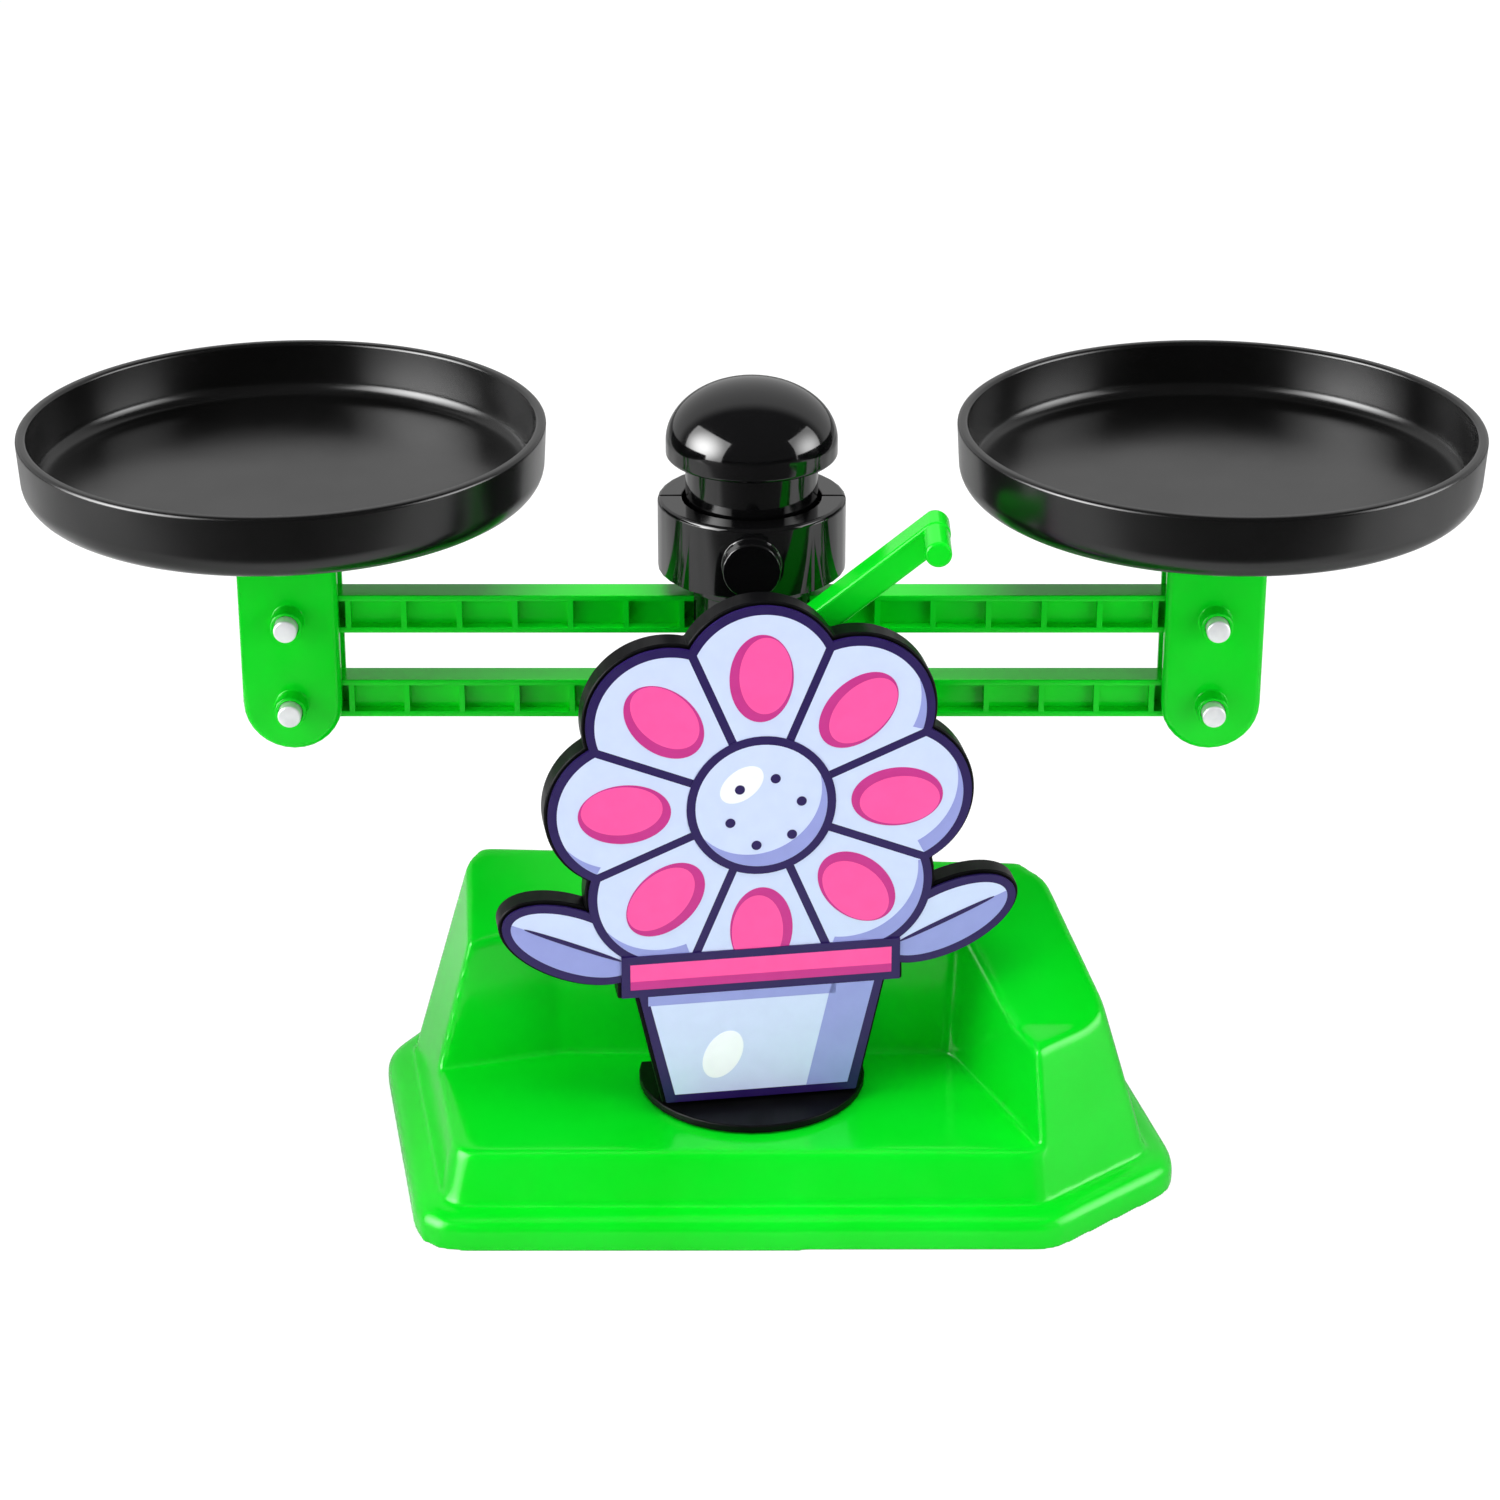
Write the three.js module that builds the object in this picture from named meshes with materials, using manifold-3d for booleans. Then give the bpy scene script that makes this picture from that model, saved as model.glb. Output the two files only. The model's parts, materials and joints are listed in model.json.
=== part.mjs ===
// Toy two-pan balance with parallel beams on a moulded base. Millimetres, +Z up.
// The origin is the point of the table under the column's axis. The beams run along X, with the right
// pan at +X, and the front of the balance faces -Y.

import * as THREE from "three";
import { mergeVertices } from "three/addons/utils/BufferGeometryUtils.js";
import Module from "manifold-3d";

const wasm = await Module();
wasm.setup();

// Clearances
const FIT = 0.3; // between pieces that seat or turn on each other
const PRESS = 0.15; // around a pin or screw that is driven in
const SWING = 2 * FIT; // beside a beam or the lever as it swings
const DEG = Math.PI / 180;

// Facets round a full turn
const ROUND = 36;
const PAN_ROUND = 48;
const BOSS_ROUND = 24;
const PIN_ROUND = 14;
const SCREW_ROUND = 10;

// Facets of a rounded corner, a fillet, the knob's dome, a leaf's quarter and a petal
const CORNER_STEPS = 3;
const FILLET_STEPS = 3;
const DOME_STEPS = 7;
const LEAF_STEPS = 8;
const PETAL_STEPS = 8;
const CORNER_SHARE = 0.45; // most of an edge that the round of one corner takes
const MERGE = 1e-4; // points nearer than this are one
const OVER = 1; // how far a cut runs past a face, or a joined solid runs into the next

// Pivots of the parallel linkage
const ARM = 106.8; // column axis to pan axis
const UPPER_Z = 126.6; // upper pivots above the table
const PIVOT_GAP = 21.2; // upper pivots above the lower ones
const TILT = 12 * DEG; // most that the beams rock either way
const PIN_R = 2.7;
const PIN_CHAMFER = 0.5;
const LOWER_Z = UPPER_Z - PIVOT_GAP;

// Beams: an I section with upright ribs
const BEAM_H = 9.4;
const BEAM_W = 7.5;
const BEAM_WEB = 2;
const BEAM_FLANGE = 1.5;
const BEAM_RIB = 1.3;
const RIBS = 7; // on each arm
const RIB_GAP = 2; // first and last rib clear of the pillar and the carrier
const BEAM_HUB_X = 7; // solid stretch either side of a pivot
const BEAM_SKIN = 1.2; // left behind the deep bays beside the pillar and the carriers
const BEAM_BOSS_R = 4.2;

// Carriers: forks that keep the pans level
const CARRIER_W = 23;
const CARRIER_PLATE = 3;
const CARRIER_BRIDGE = 4.7;
const FORK_GAP = 9; // between the two plates
const PAN_RISE = 29.9; // pan underside above the upper pivots
const CARRIER_BOSS_R = 3.75;
const CARRIER_BOSS_OUT = 4.5;
const PIN_OUT = 2.7; // pin end beyond its boss
const CARRIER_D = FORK_GAP + 2 * CARRIER_PLATE;
const PAN_Z = UPPER_Z + PAN_RISE;

// Pans
const PAN_R = 60;
const PAN_H = 15.5;
const PAN_WALL = 2.5;
const PAN_FLOOR = 2.6;
const PAN_FILLET = 6; // round of the outer bottom edge
const PAN_INNER_FILLET = 3.6;
const PAN_PEG_R = 2.8;
const PAN_PEG_X = 6.2; // pegs either side of the pan axis
const REACH = 2 * (ARM + PAN_R); // farther out than any piece

// Column, moulded in a front and a rear half
const PILLAR_R = 14.2;
const RING_R = 15.6; // step under the collar
const RING_H = 4;
const COLLAR_R = 21.65;
const COLLAR_H = 17;
const COLLAR_RISE = 11; // collar underside above the upper pivots
const COLLAR_CHAMFER = 0.6;
const NECK_R = 15.2;
const NECK_GAP = 0.8; // open ring round the knob's neck
const NECK_DEPTH = 9;
const BOSS_R = 6.6; // round boss on the collar's front
const BOSS_OUT = 3.4;
const BOSS_RISE = 8.1; // boss axis above the collar's underside
const COLLAR_Z = UPPER_Z + COLLAR_RISE;
const COLLAR_TOP = COLLAR_Z + COLLAR_H;

// Top knob
const STEM_R = 5;
const STEM_FLANGE_R = 7;
const STEM_FLANGE_H = 2.2;
const STEM_L = 6;
const BRIM_R = 19.65;
const BRIM_RISE = 10; // brim underside above the collar's top
const BRIM_H = 3.6;
const DOME_H = 14;

// Lock lever, its shaft and the cam between the beams
const LEVER_ANGLE = 39.5 * DEG; // above the horizontal, as it stands
const LEVER_HUB_R = 8.4;
const LEVER_H = 6.5;
const LEVER_D = 8.4;
const LEVER_L = 57.4; // shaft axis to peg axis, along the bar
const PEG_R = 3;
const PEG_OUT = 11.6; // peg beyond the bar's front face
const SHAFT_R = 3;
const SHAFT_SEAT = 8; // depth of the shaft's rear bearing
const CAM_GAP = 1.2; // cam to beam, at rest
const CAM_FLAT = 2.7; // half the cam's thickness
const HUB_BOSS_R = 11.8; // bearing boss on the front of the pillar
const LOCK_Z = (UPPER_Z + LOWER_Z) / 2;
const CAM_R = (PIVOT_GAP - BEAM_H) / 2 - CAM_GAP;

// Base
const WALL = 2.6;
const FLANGE_W = 6.5; // ledge round the body
const FLANGE_H = 8;
const FLANGE_ROUND = 3.6;
const BODY_CORNER_R = 7;
const FLANGE_CORNER_R = 13;
const SIDE_SLOPE = 0.27; // inward run of a wall for each unit of height
const BACK_SLOPE = 0.55;
const PLATFORM_Z = 20.3;
const TOP_Z = 61.1; // sloped top of the block, above the column's axis
const TOP_SLOPE = 0.388; // its rise towards the back
const ARM_END_Z = 42.7; // level end of the right arm's top
const RECESS_SLOPE = 0.055;
const RECESS_CORNER_R = 6;
const TOWER_W = 62;
const TOWER_BACK = 24;
const TOWER_TOP = 72;
const TOWER_CORNER_R = 9;
const TOWER_CHAMFER = 2;
const TOWER_FOOT = 1; // tower's lower edge above the table
const SOCKET_FLOOR = 5;
// Corners of the body on top of the flange, from the front left corner, counter-clockwise from above.
const BODY_CORNERS = [
  [-70.4, -70.5],
  [66.3, -70],
  [92.9, -46.2],
  [82.7, 2],
  [55.8, 30],
  [-64, 35.4],
  [-83, 3.8],
];
const BACK_EDGE = 4; // the edge between the two back corners
// Inner foot line of the block, where the platform meets it: the two bends and a far point each way.
const RECESS_BACK =
  -(PILLAR_R + FIT + WALL + RECESS_SLOPE * (TOWER_TOP - PLATFORM_Z));
const RECESS_LEFT_X = -45.7;
const RECESS_RIGHT_X = 46.9;
const RECESS_LEFT_RUN = 0.3; // forward run of the left wing for each unit outwards
const RECESS_RIGHT_RUN = 0.43; // outward run of the right arm for each unit forwards

// Plaque on its stand, turned a little to the right
const PLAQUE_TURN = 9 * DEG;
const STAND_R = 26.5;
const STAND_H = 2;
const STAND_FRONT = -59.1; // front edge of the stand on the platform
const TONGUE_W = 24;
const TONGUE_D = 6;
const TONGUE_H = 45;
const TONGUE_FRONT = -6.5; // ahead of the stand's centre
const BOARD_T = 6;
const PRINT_T = 0.6;
const PRINT_INSET = 0.8;
const PETALS = 8;
const PETAL_R = 19;
const PETAL_REACH = 30; // flower centre to petal centre
const FLOWER_Z = 75; // flower centre above the board's foot
const POT_H = 40;
const POT_RIM_H = 12;
const POT_RIM_W = 66;
const POT_TOP_W = 58;
const POT_FOOT_W = 46;
const LEAF_L = 36;
const LEAF_W = 19;
const LEAF_X = 43; // leaf centre from the board's middle
const LEAF_Z = 43;
const LEAF_TURN = 24 * DEG;
const STAND_Y = STAND_FRONT + STAND_R;

// Screws: each has a round head and a plain shank
const SCREW_R = 1.25;
const HEAD_R = 2.8;
const HEAD_H = 2.2;
const HEAD_RIM = 0.9; // straight edge of a head below its dome
const COLUMN_SCREW_BITE = 8; // shank length in the front half
const COLUMN_SCREW_X = 13;
const COLUMN_SCREW_RISE = 4; // upper screws above the collar's underside
const LOWER_SCREW_X = 8;
const LOWER_SCREW_DROP = 17.4; // lower screws below the lower pivots
const UPPER_SCREW_SEAT = 9; // head seat behind the parting plane
const LOWER_SCREW_SEAT = 5;
const BASE_SCREW_Y = 7;
const BASE_SCREW_BITE = 14;
const STAND_SCREW_X = 7;
const STAND_SCREW_BITE = 10;
const PLAQUE_SCREW_Z = [22, 36];
const PLAQUE_SKIN = 1.8; // board left ahead of a plaque screw
const LOCK_SCREW_BITE = 12;
const LOCK_HEAD_R = 4.6;

const green = { color: 0x12d41f, roughness: 0.28, metalness: 0 };
const black = { color: 0x101112, roughness: 0.22, metalness: 0 };
const panBlack = { color: 0x1b1b1c, roughness: 0.42, metalness: 0 };
const steel = { color: 0xd4d6d8, roughness: 0.25, metalness: 1 };
const print = { color: 0xcbd8f8, roughness: 0.4, metalness: 0 };

const balance = new THREE.Group();

// Closed geometry to solid and back

function solidOf(geometry) {
  const bare = new THREE.BufferGeometry();
  bare.setAttribute("position", geometry.getAttribute("position"));
  bare.setIndex(geometry.index);
  const merged = mergeVertices(bare, MERGE);
  const vertProperties = new Float32Array(merged.attributes.position.array);
  const triVerts = new Uint32Array(merged.index.array);
  return new wasm.Manifold(new wasm.Mesh({ numProp: 3, vertProperties, triVerts }));
}

function geometryOf(solid) {
  const mesh = solid.getMesh();
  const geometry = new THREE.BufferGeometry();
  geometry.setAttribute("position", new THREE.BufferAttribute(mesh.vertProperties, 3));
  geometry.setIndex(new THREE.BufferAttribute(mesh.triVerts, 1));
  geometry.computeVertexNormals();
  return geometry;
}

function addPiece(name, solid, finish, parent = balance) {
  const mesh = new THREE.Mesh(geometryOf(solid), new THREE.MeshStandardMaterial(finish));
  mesh.name = name;
  parent.add(mesh);
}

// Simple solids

function block(x0, x1, y0, y1, z0, z1) {
  const box = new THREE.BoxGeometry(x1 - x0, y1 - y0, z1 - z0);
  return solidOf(box.translate((x0 + x1) / 2, (y0 + y1) / 2, (z0 + z1) / 2));
}

function rodY(radius, y0, y1, x, z, sides = PIN_ROUND) {
  const rod = new THREE.CylinderGeometry(radius, radius, y1 - y0, sides);
  return solidOf(rod.translate(x, (y0 + y1) / 2, z));
}

function rodZ(radius, z0, z1, x, y, sides = SCREW_ROUND) {
  const rod = new THREE.CylinderGeometry(radius, radius, z1 - z0, sides);
  return solidOf(rod.rotateX(Math.PI / 2).translate(x, y, (z0 + z1) / 2));
}

// A profile of [radius, height] points, counter-clockwise, turned about Z.
function turned(profile, sides = ROUND) {
  const points = profile.map(([r, z]) => new THREE.Vector2(r, z));
  return solidOf(new THREE.LatheGeometry(points, sides).rotateX(Math.PI / 2));
}

// Points of a quarter round from one heading to another, about a centre in the profile plane.
function quarter(centreR, centreZ, radiusR, radiusZ, from, to, steps = FILLET_STEPS) {
  const points = [];
  for (let i = 0; i <= steps; i++) {
    const angle = (from + ((to - from) * i) / steps) * DEG;
    points.push([centreR + radiusR * Math.cos(angle), centreZ + radiusZ * Math.sin(angle)]);
  }
  return points;
}

// A flat outline in X and Z, made thick along Y from y0 to y1.
function slab(shape, y0, y1) {
  const made = new THREE.ExtrudeGeometry(shape, {
    depth: y1 - y0,
    bevelEnabled: false,
    curveSegments: LEAF_STEPS,
  });
  return solidOf(made.rotateX(Math.PI / 2).translate(0, y1, 0));
}

// Rings of points, each counter-clockwise from above, joined from the lowest to the highest.
function loft(rings) {
  const count = rings[0].length;
  const positions = rings.flat().flatMap((point) => [point.x, point.y, point.z]);
  const index = [];
  for (let level = 0; level + 1 < rings.length; level++) {
    for (let i = 0; i < count; i++) {
      const a = level * count + i;
      const b = level * count + ((i + 1) % count);
      index.push(a, b, b + count, a, b + count, a + count);
    }
  }
  const plan = rings[0].map((point) => new THREE.Vector2(point.x, point.y));
  const top = (rings.length - 1) * count;
  for (const [a, b, c] of THREE.ShapeUtils.triangulateShape(plan, [])) {
    index.push(c, b, a, top + a, top + b, top + c);
  }
  const geometry = new THREE.BufferGeometry();
  geometry.setAttribute("position", new THREE.Float32BufferAttribute(positions, 3));
  geometry.setIndex(index);
  return solidOf(geometry);
}

// A plan's corners after each edge has moved inwards by its own distance.
function insetCorners(corners, insets) {
  const count = corners.length;
  const edges = corners.map(([x, y], i) => {
    const [nextX, nextY] = corners[(i + 1) % count];
    const along = new THREE.Vector2(nextX - x, nextY - y).normalize();
    const start = new THREE.Vector2(x - along.y * insets[i], y + along.x * insets[i]);
    return { start, along };
  });
  return edges.map((edge, i) => {
    const last = edges[(i + count - 1) % count];
    const gap = edge.start.clone().sub(last.start);
    const run = gap.cross(edge.along) / last.along.cross(edge.along);
    return last.start.clone().addScaledVector(last.along, run);
  });
}

// A ring at height z through a plan's corners, each rounded.
function roundedRing(corners, radius, z) {
  return corners.flatMap((corner, i) => {
    const before = corners[(i + corners.length - 1) % corners.length].clone().sub(corner);
    const after = corners[(i + 1) % corners.length].clone().sub(corner);
    const room = Math.min(before.length(), after.length()) * CORNER_SHARE;
    const half = before.angleTo(after) / 2;
    const tangent = Math.min(radius / Math.tan(half), room);
    const curve = new THREE.QuadraticBezierCurve(
      corner.clone().addScaledVector(before.normalize(), tangent),
      corner,
      corner.clone().addScaledVector(after.normalize(), tangent),
    );
    return curve.getPoints(CORNER_STEPS).map((p) => new THREE.Vector3(p.x, p.y, z));
  });
}

// Screw with its head's seat at the origin and its shank running up +Z.
function screw(shank, headR = HEAD_R) {
  const dome = quarter(0, -HEAD_RIM, headR, HEAD_H - HEAD_RIM, 270, 360, FILLET_STEPS - 1);
  const profile = [...dome, [headR, 0], [SCREW_R, 0], [SCREW_R, shank - SCREW_R], [0, shank]];
  return turned(profile, SCREW_ROUND);
}

function turnedAndMoved(solid, rotation, x, y, z) {
  const quaternion = new THREE.Quaternion().setFromEuler(rotation);
  const matrix = new THREE.Matrix4();
  matrix.compose(new THREE.Vector3(x, y, z), quaternion, new THREE.Vector3(1, 1, 1));
  return solidOf(geometryOf(solid).applyMatrix4(matrix));
}

const TO_FRONT = new THREE.Euler(Math.PI / 2, 0, 0); // +Z turned to -Y
const TO_BACK = new THREE.Euler(-Math.PI / 2, 0, 0); // +Z turned to +Y
const UPRIGHT = new THREE.Euler(0, 0, 0);

// Steel pin along Y with chamfered ends.
function pin(halfLength, x, z) {
  const profile = [
    [0, -halfLength],
    [PIN_R - PIN_CHAMFER, -halfLength],
    [PIN_R, -halfLength + PIN_CHAMFER],
    [PIN_R, halfLength - PIN_CHAMFER],
    [PIN_R - PIN_CHAMFER, halfLength],
    [0, halfLength],
  ];
  return turnedAndMoved(turned(profile, PIN_ROUND), TO_FRONT, x, 0, z);
}

// Base: flange, drafted body with a sloped top, front recess and the column's socket

function bodyInsets(z, extra) {
  return BODY_CORNERS.map((corner, i) => {
    const slope = i === BACK_EDGE ? BACK_SLOPE : SIDE_SLOPE;
    return slope * (z - FLANGE_H) + extra;
  });
}

function evenInsets(distance) {
  return BODY_CORNERS.map(() => distance);
}

function bodyRing(z, extra) {
  return roundedRing(insetCorners(BODY_CORNERS, bodyInsets(z, extra)), BODY_CORNER_R, z);
}

function flangeRing(z, outwards) {
  return roundedRing(insetCorners(BODY_CORNERS, evenInsets(-outwards)), FLANGE_CORNER_R, z);
}

function towerRing(z, inset) {
  const x = TOWER_W / 2 - inset;
  const y = TOWER_BACK - inset;
  const corners = [[-x, -y], [x, -y], [x, y], [-x, y]].map(([a, b]) => new THREE.Vector2(a, b));
  return roundedRing(corners, TOWER_CORNER_R, z);
}

function recess(floor, extra) {
  const leftX = RECESS_LEFT_X - REACH;
  const corners = [
    [leftX, RECESS_BACK - REACH],
    [RECESS_RIGHT_X + REACH * RECESS_RIGHT_RUN, RECESS_BACK - REACH],
    [RECESS_RIGHT_X, RECESS_BACK],
    [RECESS_LEFT_X, RECESS_BACK],
    [leftX, RECESS_BACK - REACH * RECESS_LEFT_RUN],
  ];
  const ring = (z) => {
    const lean = -RECESS_SLOPE * (z - PLATFORM_Z) - extra;
    return roundedRing(insetCorners(corners, [0, lean, lean, lean, 0]), RECESS_CORNER_R, z);
  };
  return loft([ring(floor), ring(2 * TOWER_TOP)]);
}

// Everything above the block's top, lowered by a wall for the hollow below it. The top slopes down to the
// front and ends level on the right arm.
function aboveTop(drop) {
  const tilt = Math.atan(TOP_SLOPE);
  const slabAbove = block(-REACH, REACH, -REACH, REACH, 0, REACH);
  const height = TOP_Z - drop / Math.cos(tilt);
  const slope = turnedAndMoved(slabAbove, new THREE.Euler(tilt, 0, 0), 0, 0, height);
  return slope.intersect(block(-REACH, REACH, -REACH, REACH, ARM_END_Z - drop, REACH));
}

function buildBase() {
  const peak = TOP_Z + TOP_SLOPE * TOWER_BACK;
  const ledge = FLANGE_W - FLANGE_ROUND;
  const edge = quarter(ledge, FLANGE_H - FLANGE_ROUND, FLANGE_ROUND, FLANGE_ROUND, 0, 90);
  const flange = loft([
    flangeRing(0, FLANGE_W),
    ...edge.map(([outwards, z]) => flangeRing(z, outwards)),
  ]);
  const body = loft([bodyRing(FLANGE_H - OVER, 0), bodyRing(peak, 0)]).subtract(aboveTop(0));
  const tower = loft([
    towerRing(TOWER_FOOT, 0),
    towerRing(TOWER_TOP - TOWER_CHAMFER, 0),
    towerRing(TOWER_TOP, TOWER_CHAMFER),
  ]);
  const flangeHollow = loft([
    flangeRing(-OVER, FLANGE_W - WALL),
    flangeRing(FLANGE_H - WALL, ledge - WALL),
  ]);
  const hollowRise = bodyRing(FLANGE_H - WALL - OVER, WALL);
  const bodyHollow = loft([hollowRise, bodyRing(peak, WALL)]).subtract(aboveTop(WALL));
  const towerHollow = loft([towerRing(-OVER, WALL), towerRing(TOWER_TOP - WALL, WALL)]);
  const hollow = flangeHollow
    .add(bodyHollow)
    .add(towerHollow)
    .subtract(recess(PLATFORM_Z - WALL, WALL));
  const socketR = PILLAR_R + FIT + WALL;
  let base = flange
    .add(body)
    .add(tower)
    .subtract(hollow)
    .add(rodZ(socketR, 0, TOWER_TOP - WALL / 2, 0, 0, ROUND))
    .subtract(recess(PLATFORM_Z, 0))
    .subtract(rodZ(PILLAR_R + FIT, SOCKET_FLOOR, TOWER_TOP + OVER, 0, 0, ROUND));
  for (const y of [-BASE_SCREW_Y, BASE_SCREW_Y]) {
    base = base
      .subtract(rodZ(SCREW_R + FIT, -OVER, SOCKET_FLOOR + OVER, 0, y))
      .subtract(rodZ(HEAD_R + FIT, -OVER, HEAD_H + FIT, 0, y));
  }
  for (const [x, y] of standScrewPlaces()) {
    const [low, high] = [PLATFORM_Z - WALL - OVER, PLATFORM_Z + OVER];
    base = base.subtract(rodZ(SCREW_R + FIT, low, high, x, y));
  }
  return base;
}

// Column

function slotHalf() {
  return PILLAR_R * Math.tan(TILT) + BEAM_H / 2 / Math.cos(TILT) + SWING;
}

function columnScrews() {
  const upperZ = COLLAR_Z + COLUMN_SCREW_RISE;
  const lowerZ = LOWER_Z - LOWER_SCREW_DROP;
  return [
    { x: -COLUMN_SCREW_X, z: upperZ, seat: UPPER_SCREW_SEAT },
    { x: COLUMN_SCREW_X, z: upperZ, seat: UPPER_SCREW_SEAT },
    { x: -LOWER_SCREW_X, z: lowerZ, seat: LOWER_SCREW_SEAT },
    { x: LOWER_SCREW_X, z: lowerZ, seat: LOWER_SCREW_SEAT },
  ];
}

function buildColumn() {
  const foot = SOCKET_FLOOR + FIT;
  const boreZ = COLLAR_TOP - NECK_DEPTH;
  const stemZ = boreZ - STEM_L;
  const leverBack = -(COLLAR_R + SWING);
  const neckFace = -(NECK_R + NECK_GAP + OVER);
  const bossFace = -(COLLAR_R + BOSS_OUT);
  let column = turned([
    [0, foot],
    [PILLAR_R, foot],
    [PILLAR_R, COLLAR_Z - RING_H],
    [RING_R, COLLAR_Z - RING_H],
    [RING_R, COLLAR_Z],
    [COLLAR_R, COLLAR_Z],
    [COLLAR_R, COLLAR_TOP - COLLAR_CHAMFER],
    [COLLAR_R - COLLAR_CHAMFER, COLLAR_TOP],
    [NECK_R + NECK_GAP, COLLAR_TOP],
    [NECK_R + NECK_GAP, boreZ],
    [STEM_R + FIT, boreZ],
    [STEM_R + FIT, stemZ + STEM_FLANGE_H + FIT],
    [STEM_FLANGE_R + FIT, stemZ + STEM_FLANGE_H + FIT],
    [STEM_FLANGE_R + FIT, stemZ],
    [0, stemZ],
  ]);
  column = column
    .add(rodY(BOSS_R, bossFace, neckFace, 0, COLLAR_Z + BOSS_RISE, BOSS_ROUND))
    .add(rodY(HUB_BOSS_R, leverBack + FIT, -PILLAR_R / 2, 0, LOCK_Z, BOSS_ROUND));
  const slotY = BEAM_W / 2 + SWING;
  for (const z of [UPPER_Z, LOWER_Z]) {
    const half = slotHalf();
    column = column
      .subtract(block(-COLLAR_R, COLLAR_R, -slotY, slotY, z - half, z + half))
      .subtract(rodY(PIN_R + PRESS, -pivotHalf() - PRESS, pivotHalf() + PRESS, 0, z));
  }
  column = column
    .subtract(rodY(SHAFT_R + FIT, leverBack - OVER, SHAFT_SEAT + slotY, 0, LOCK_Z))
    .subtract(rodY(CAM_R + FIT, -slotY, slotY, 0, LOCK_Z));
  for (const { x, z, seat } of columnScrews()) {
    column = column
      .subtract(rodY(SCREW_R + PRESS, -COLUMN_SCREW_BITE - PRESS, seat, x, z))
      .subtract(rodY(HEAD_R + FIT, seat, COLLAR_R + OVER, x, z));
  }
  for (const y of [-BASE_SCREW_Y, BASE_SCREW_Y]) {
    column = column.subtract(rodZ(SCREW_R + PRESS, 0, foot + BASE_SCREW_BITE + PRESS, 0, y));
  }
  return column;
}

// Half of a centre pivot pin's length: it ends a wall short of the pillar's face.
function pivotHalf() {
  return PILLAR_R - WALL;
}

function addColumn() {
  const column = buildColumn();
  const half = (y0, y1) => column.intersect(block(-REACH, REACH, y0, y1, 0, REACH));
  addPiece("column_front", half(-REACH, -FIT / 2), black);
  addPiece("column_rear", half(FIT / 2, REACH), black);
  columnScrews().forEach(({ x, z, seat }, i) => {
    const shank = seat + COLUMN_SCREW_BITE;
    const placed = turnedAndMoved(screw(shank - FIT), TO_FRONT, x, seat + FIT, z);
    addPiece(`column_screw_${i + 1}`, placed, steel);
  });
  const baseShank = SOCKET_FLOOR - HEAD_H - FIT + BASE_SCREW_BITE;
  for (const [name, y] of [["front", -BASE_SCREW_Y], ["rear", BASE_SCREW_Y]]) {
    const placed = turnedAndMoved(screw(baseShank), UPRIGHT, 0, y, HEAD_H);
    addPiece(`base_screw_${name}`, placed, steel);
  }
  addPiece("upper_pivot_pin", pin(pivotHalf(), 0, UPPER_Z), steel);
  addPiece("lower_pivot_pin", pin(pivotHalf(), 0, LOWER_Z), steel);
}

function buildKnob() {
  const neckZ = COLLAR_TOP - NECK_DEPTH + FIT;
  const stemZ = neckZ - STEM_L;
  const brimZ = COLLAR_TOP + BRIM_RISE;
  return turned([
    [0, stemZ],
    [STEM_FLANGE_R, stemZ],
    [STEM_FLANGE_R, stemZ + STEM_FLANGE_H - FIT],
    [STEM_R, stemZ + STEM_FLANGE_H - FIT],
    [STEM_R, neckZ],
    [NECK_R, neckZ],
    [NECK_R, brimZ],
    [BRIM_R, brimZ],
    ...quarter(0, brimZ + BRIM_H, BRIM_R, DOME_H, 0, 90, DOME_STEPS),
  ]);
}

// Beams

function buildBeam(z) {
  const half = BEAM_W / 2;
  const cut = BEAM_H / 2 - BEAM_FLANGE;
  const lastRib = ARM - CARRIER_W / 2 - RIB_GAP;
  const firstRib = PILLAR_R + RIB_GAP;
  const pitch = (lastRib - firstRib) / (RIBS - 1);
  let beam = block(-ARM, ARM, -half, half, z - BEAM_H / 2, z + BEAM_H / 2);
  for (const x of [-ARM, 0, ARM]) {
    beam = beam.add(rodY(BEAM_BOSS_R, -FORK_GAP / 2 + FIT, FORK_GAP / 2 - FIT, x, z));
  }
  for (const side of [-1, 1]) {
    beam = beam.add(rodY(BEAM_H / 2, -half, half, side * ARM, z));
    const pocket = (from, to, y0, y1) => {
      const [a, b] = [side * from, side * to].sort((p, q) => p - q);
      beam = beam.subtract(block(a, b, y0, y1, z - cut, z + cut));
    };
    for (let i = 0; i + 1 < RIBS; i++) {
      const from = firstRib + i * pitch + BEAM_RIB / 2;
      const to = firstRib + (i + 1) * pitch - BEAM_RIB / 2;
      pocket(from, to, -half - OVER, -BEAM_WEB / 2);
      pocket(from, to, BEAM_WEB / 2, half + OVER);
    }
    const deep = half - BEAM_SKIN;
    pocket(BEAM_HUB_X, firstRib - BEAM_RIB / 2, -half - OVER, deep);
    pocket(lastRib + BEAM_RIB / 2, ARM - BEAM_HUB_X, -half - OVER, deep);
  }
  for (const x of [-ARM, 0, ARM]) {
    beam = beam.subtract(rodY(PIN_R + FIT, -FORK_GAP, FORK_GAP, x, z));
  }
  return beam;
}

// Carriers, pans and end pins of one side

function carrierOutline(x) {
  const half = CARRIER_W / 2;
  const top = PAN_Z - FIT;
  const shape = new THREE.Shape();
  shape.moveTo(x + half, top);
  shape.lineTo(x - half, top);
  shape.lineTo(x - half, LOWER_Z);
  shape.absarc(x, LOWER_Z, half, Math.PI, 2 * Math.PI, false);
  return shape;
}

function pegPlaces(x) {
  return [x - PAN_PEG_X, x + PAN_PEG_X];
}

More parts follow.
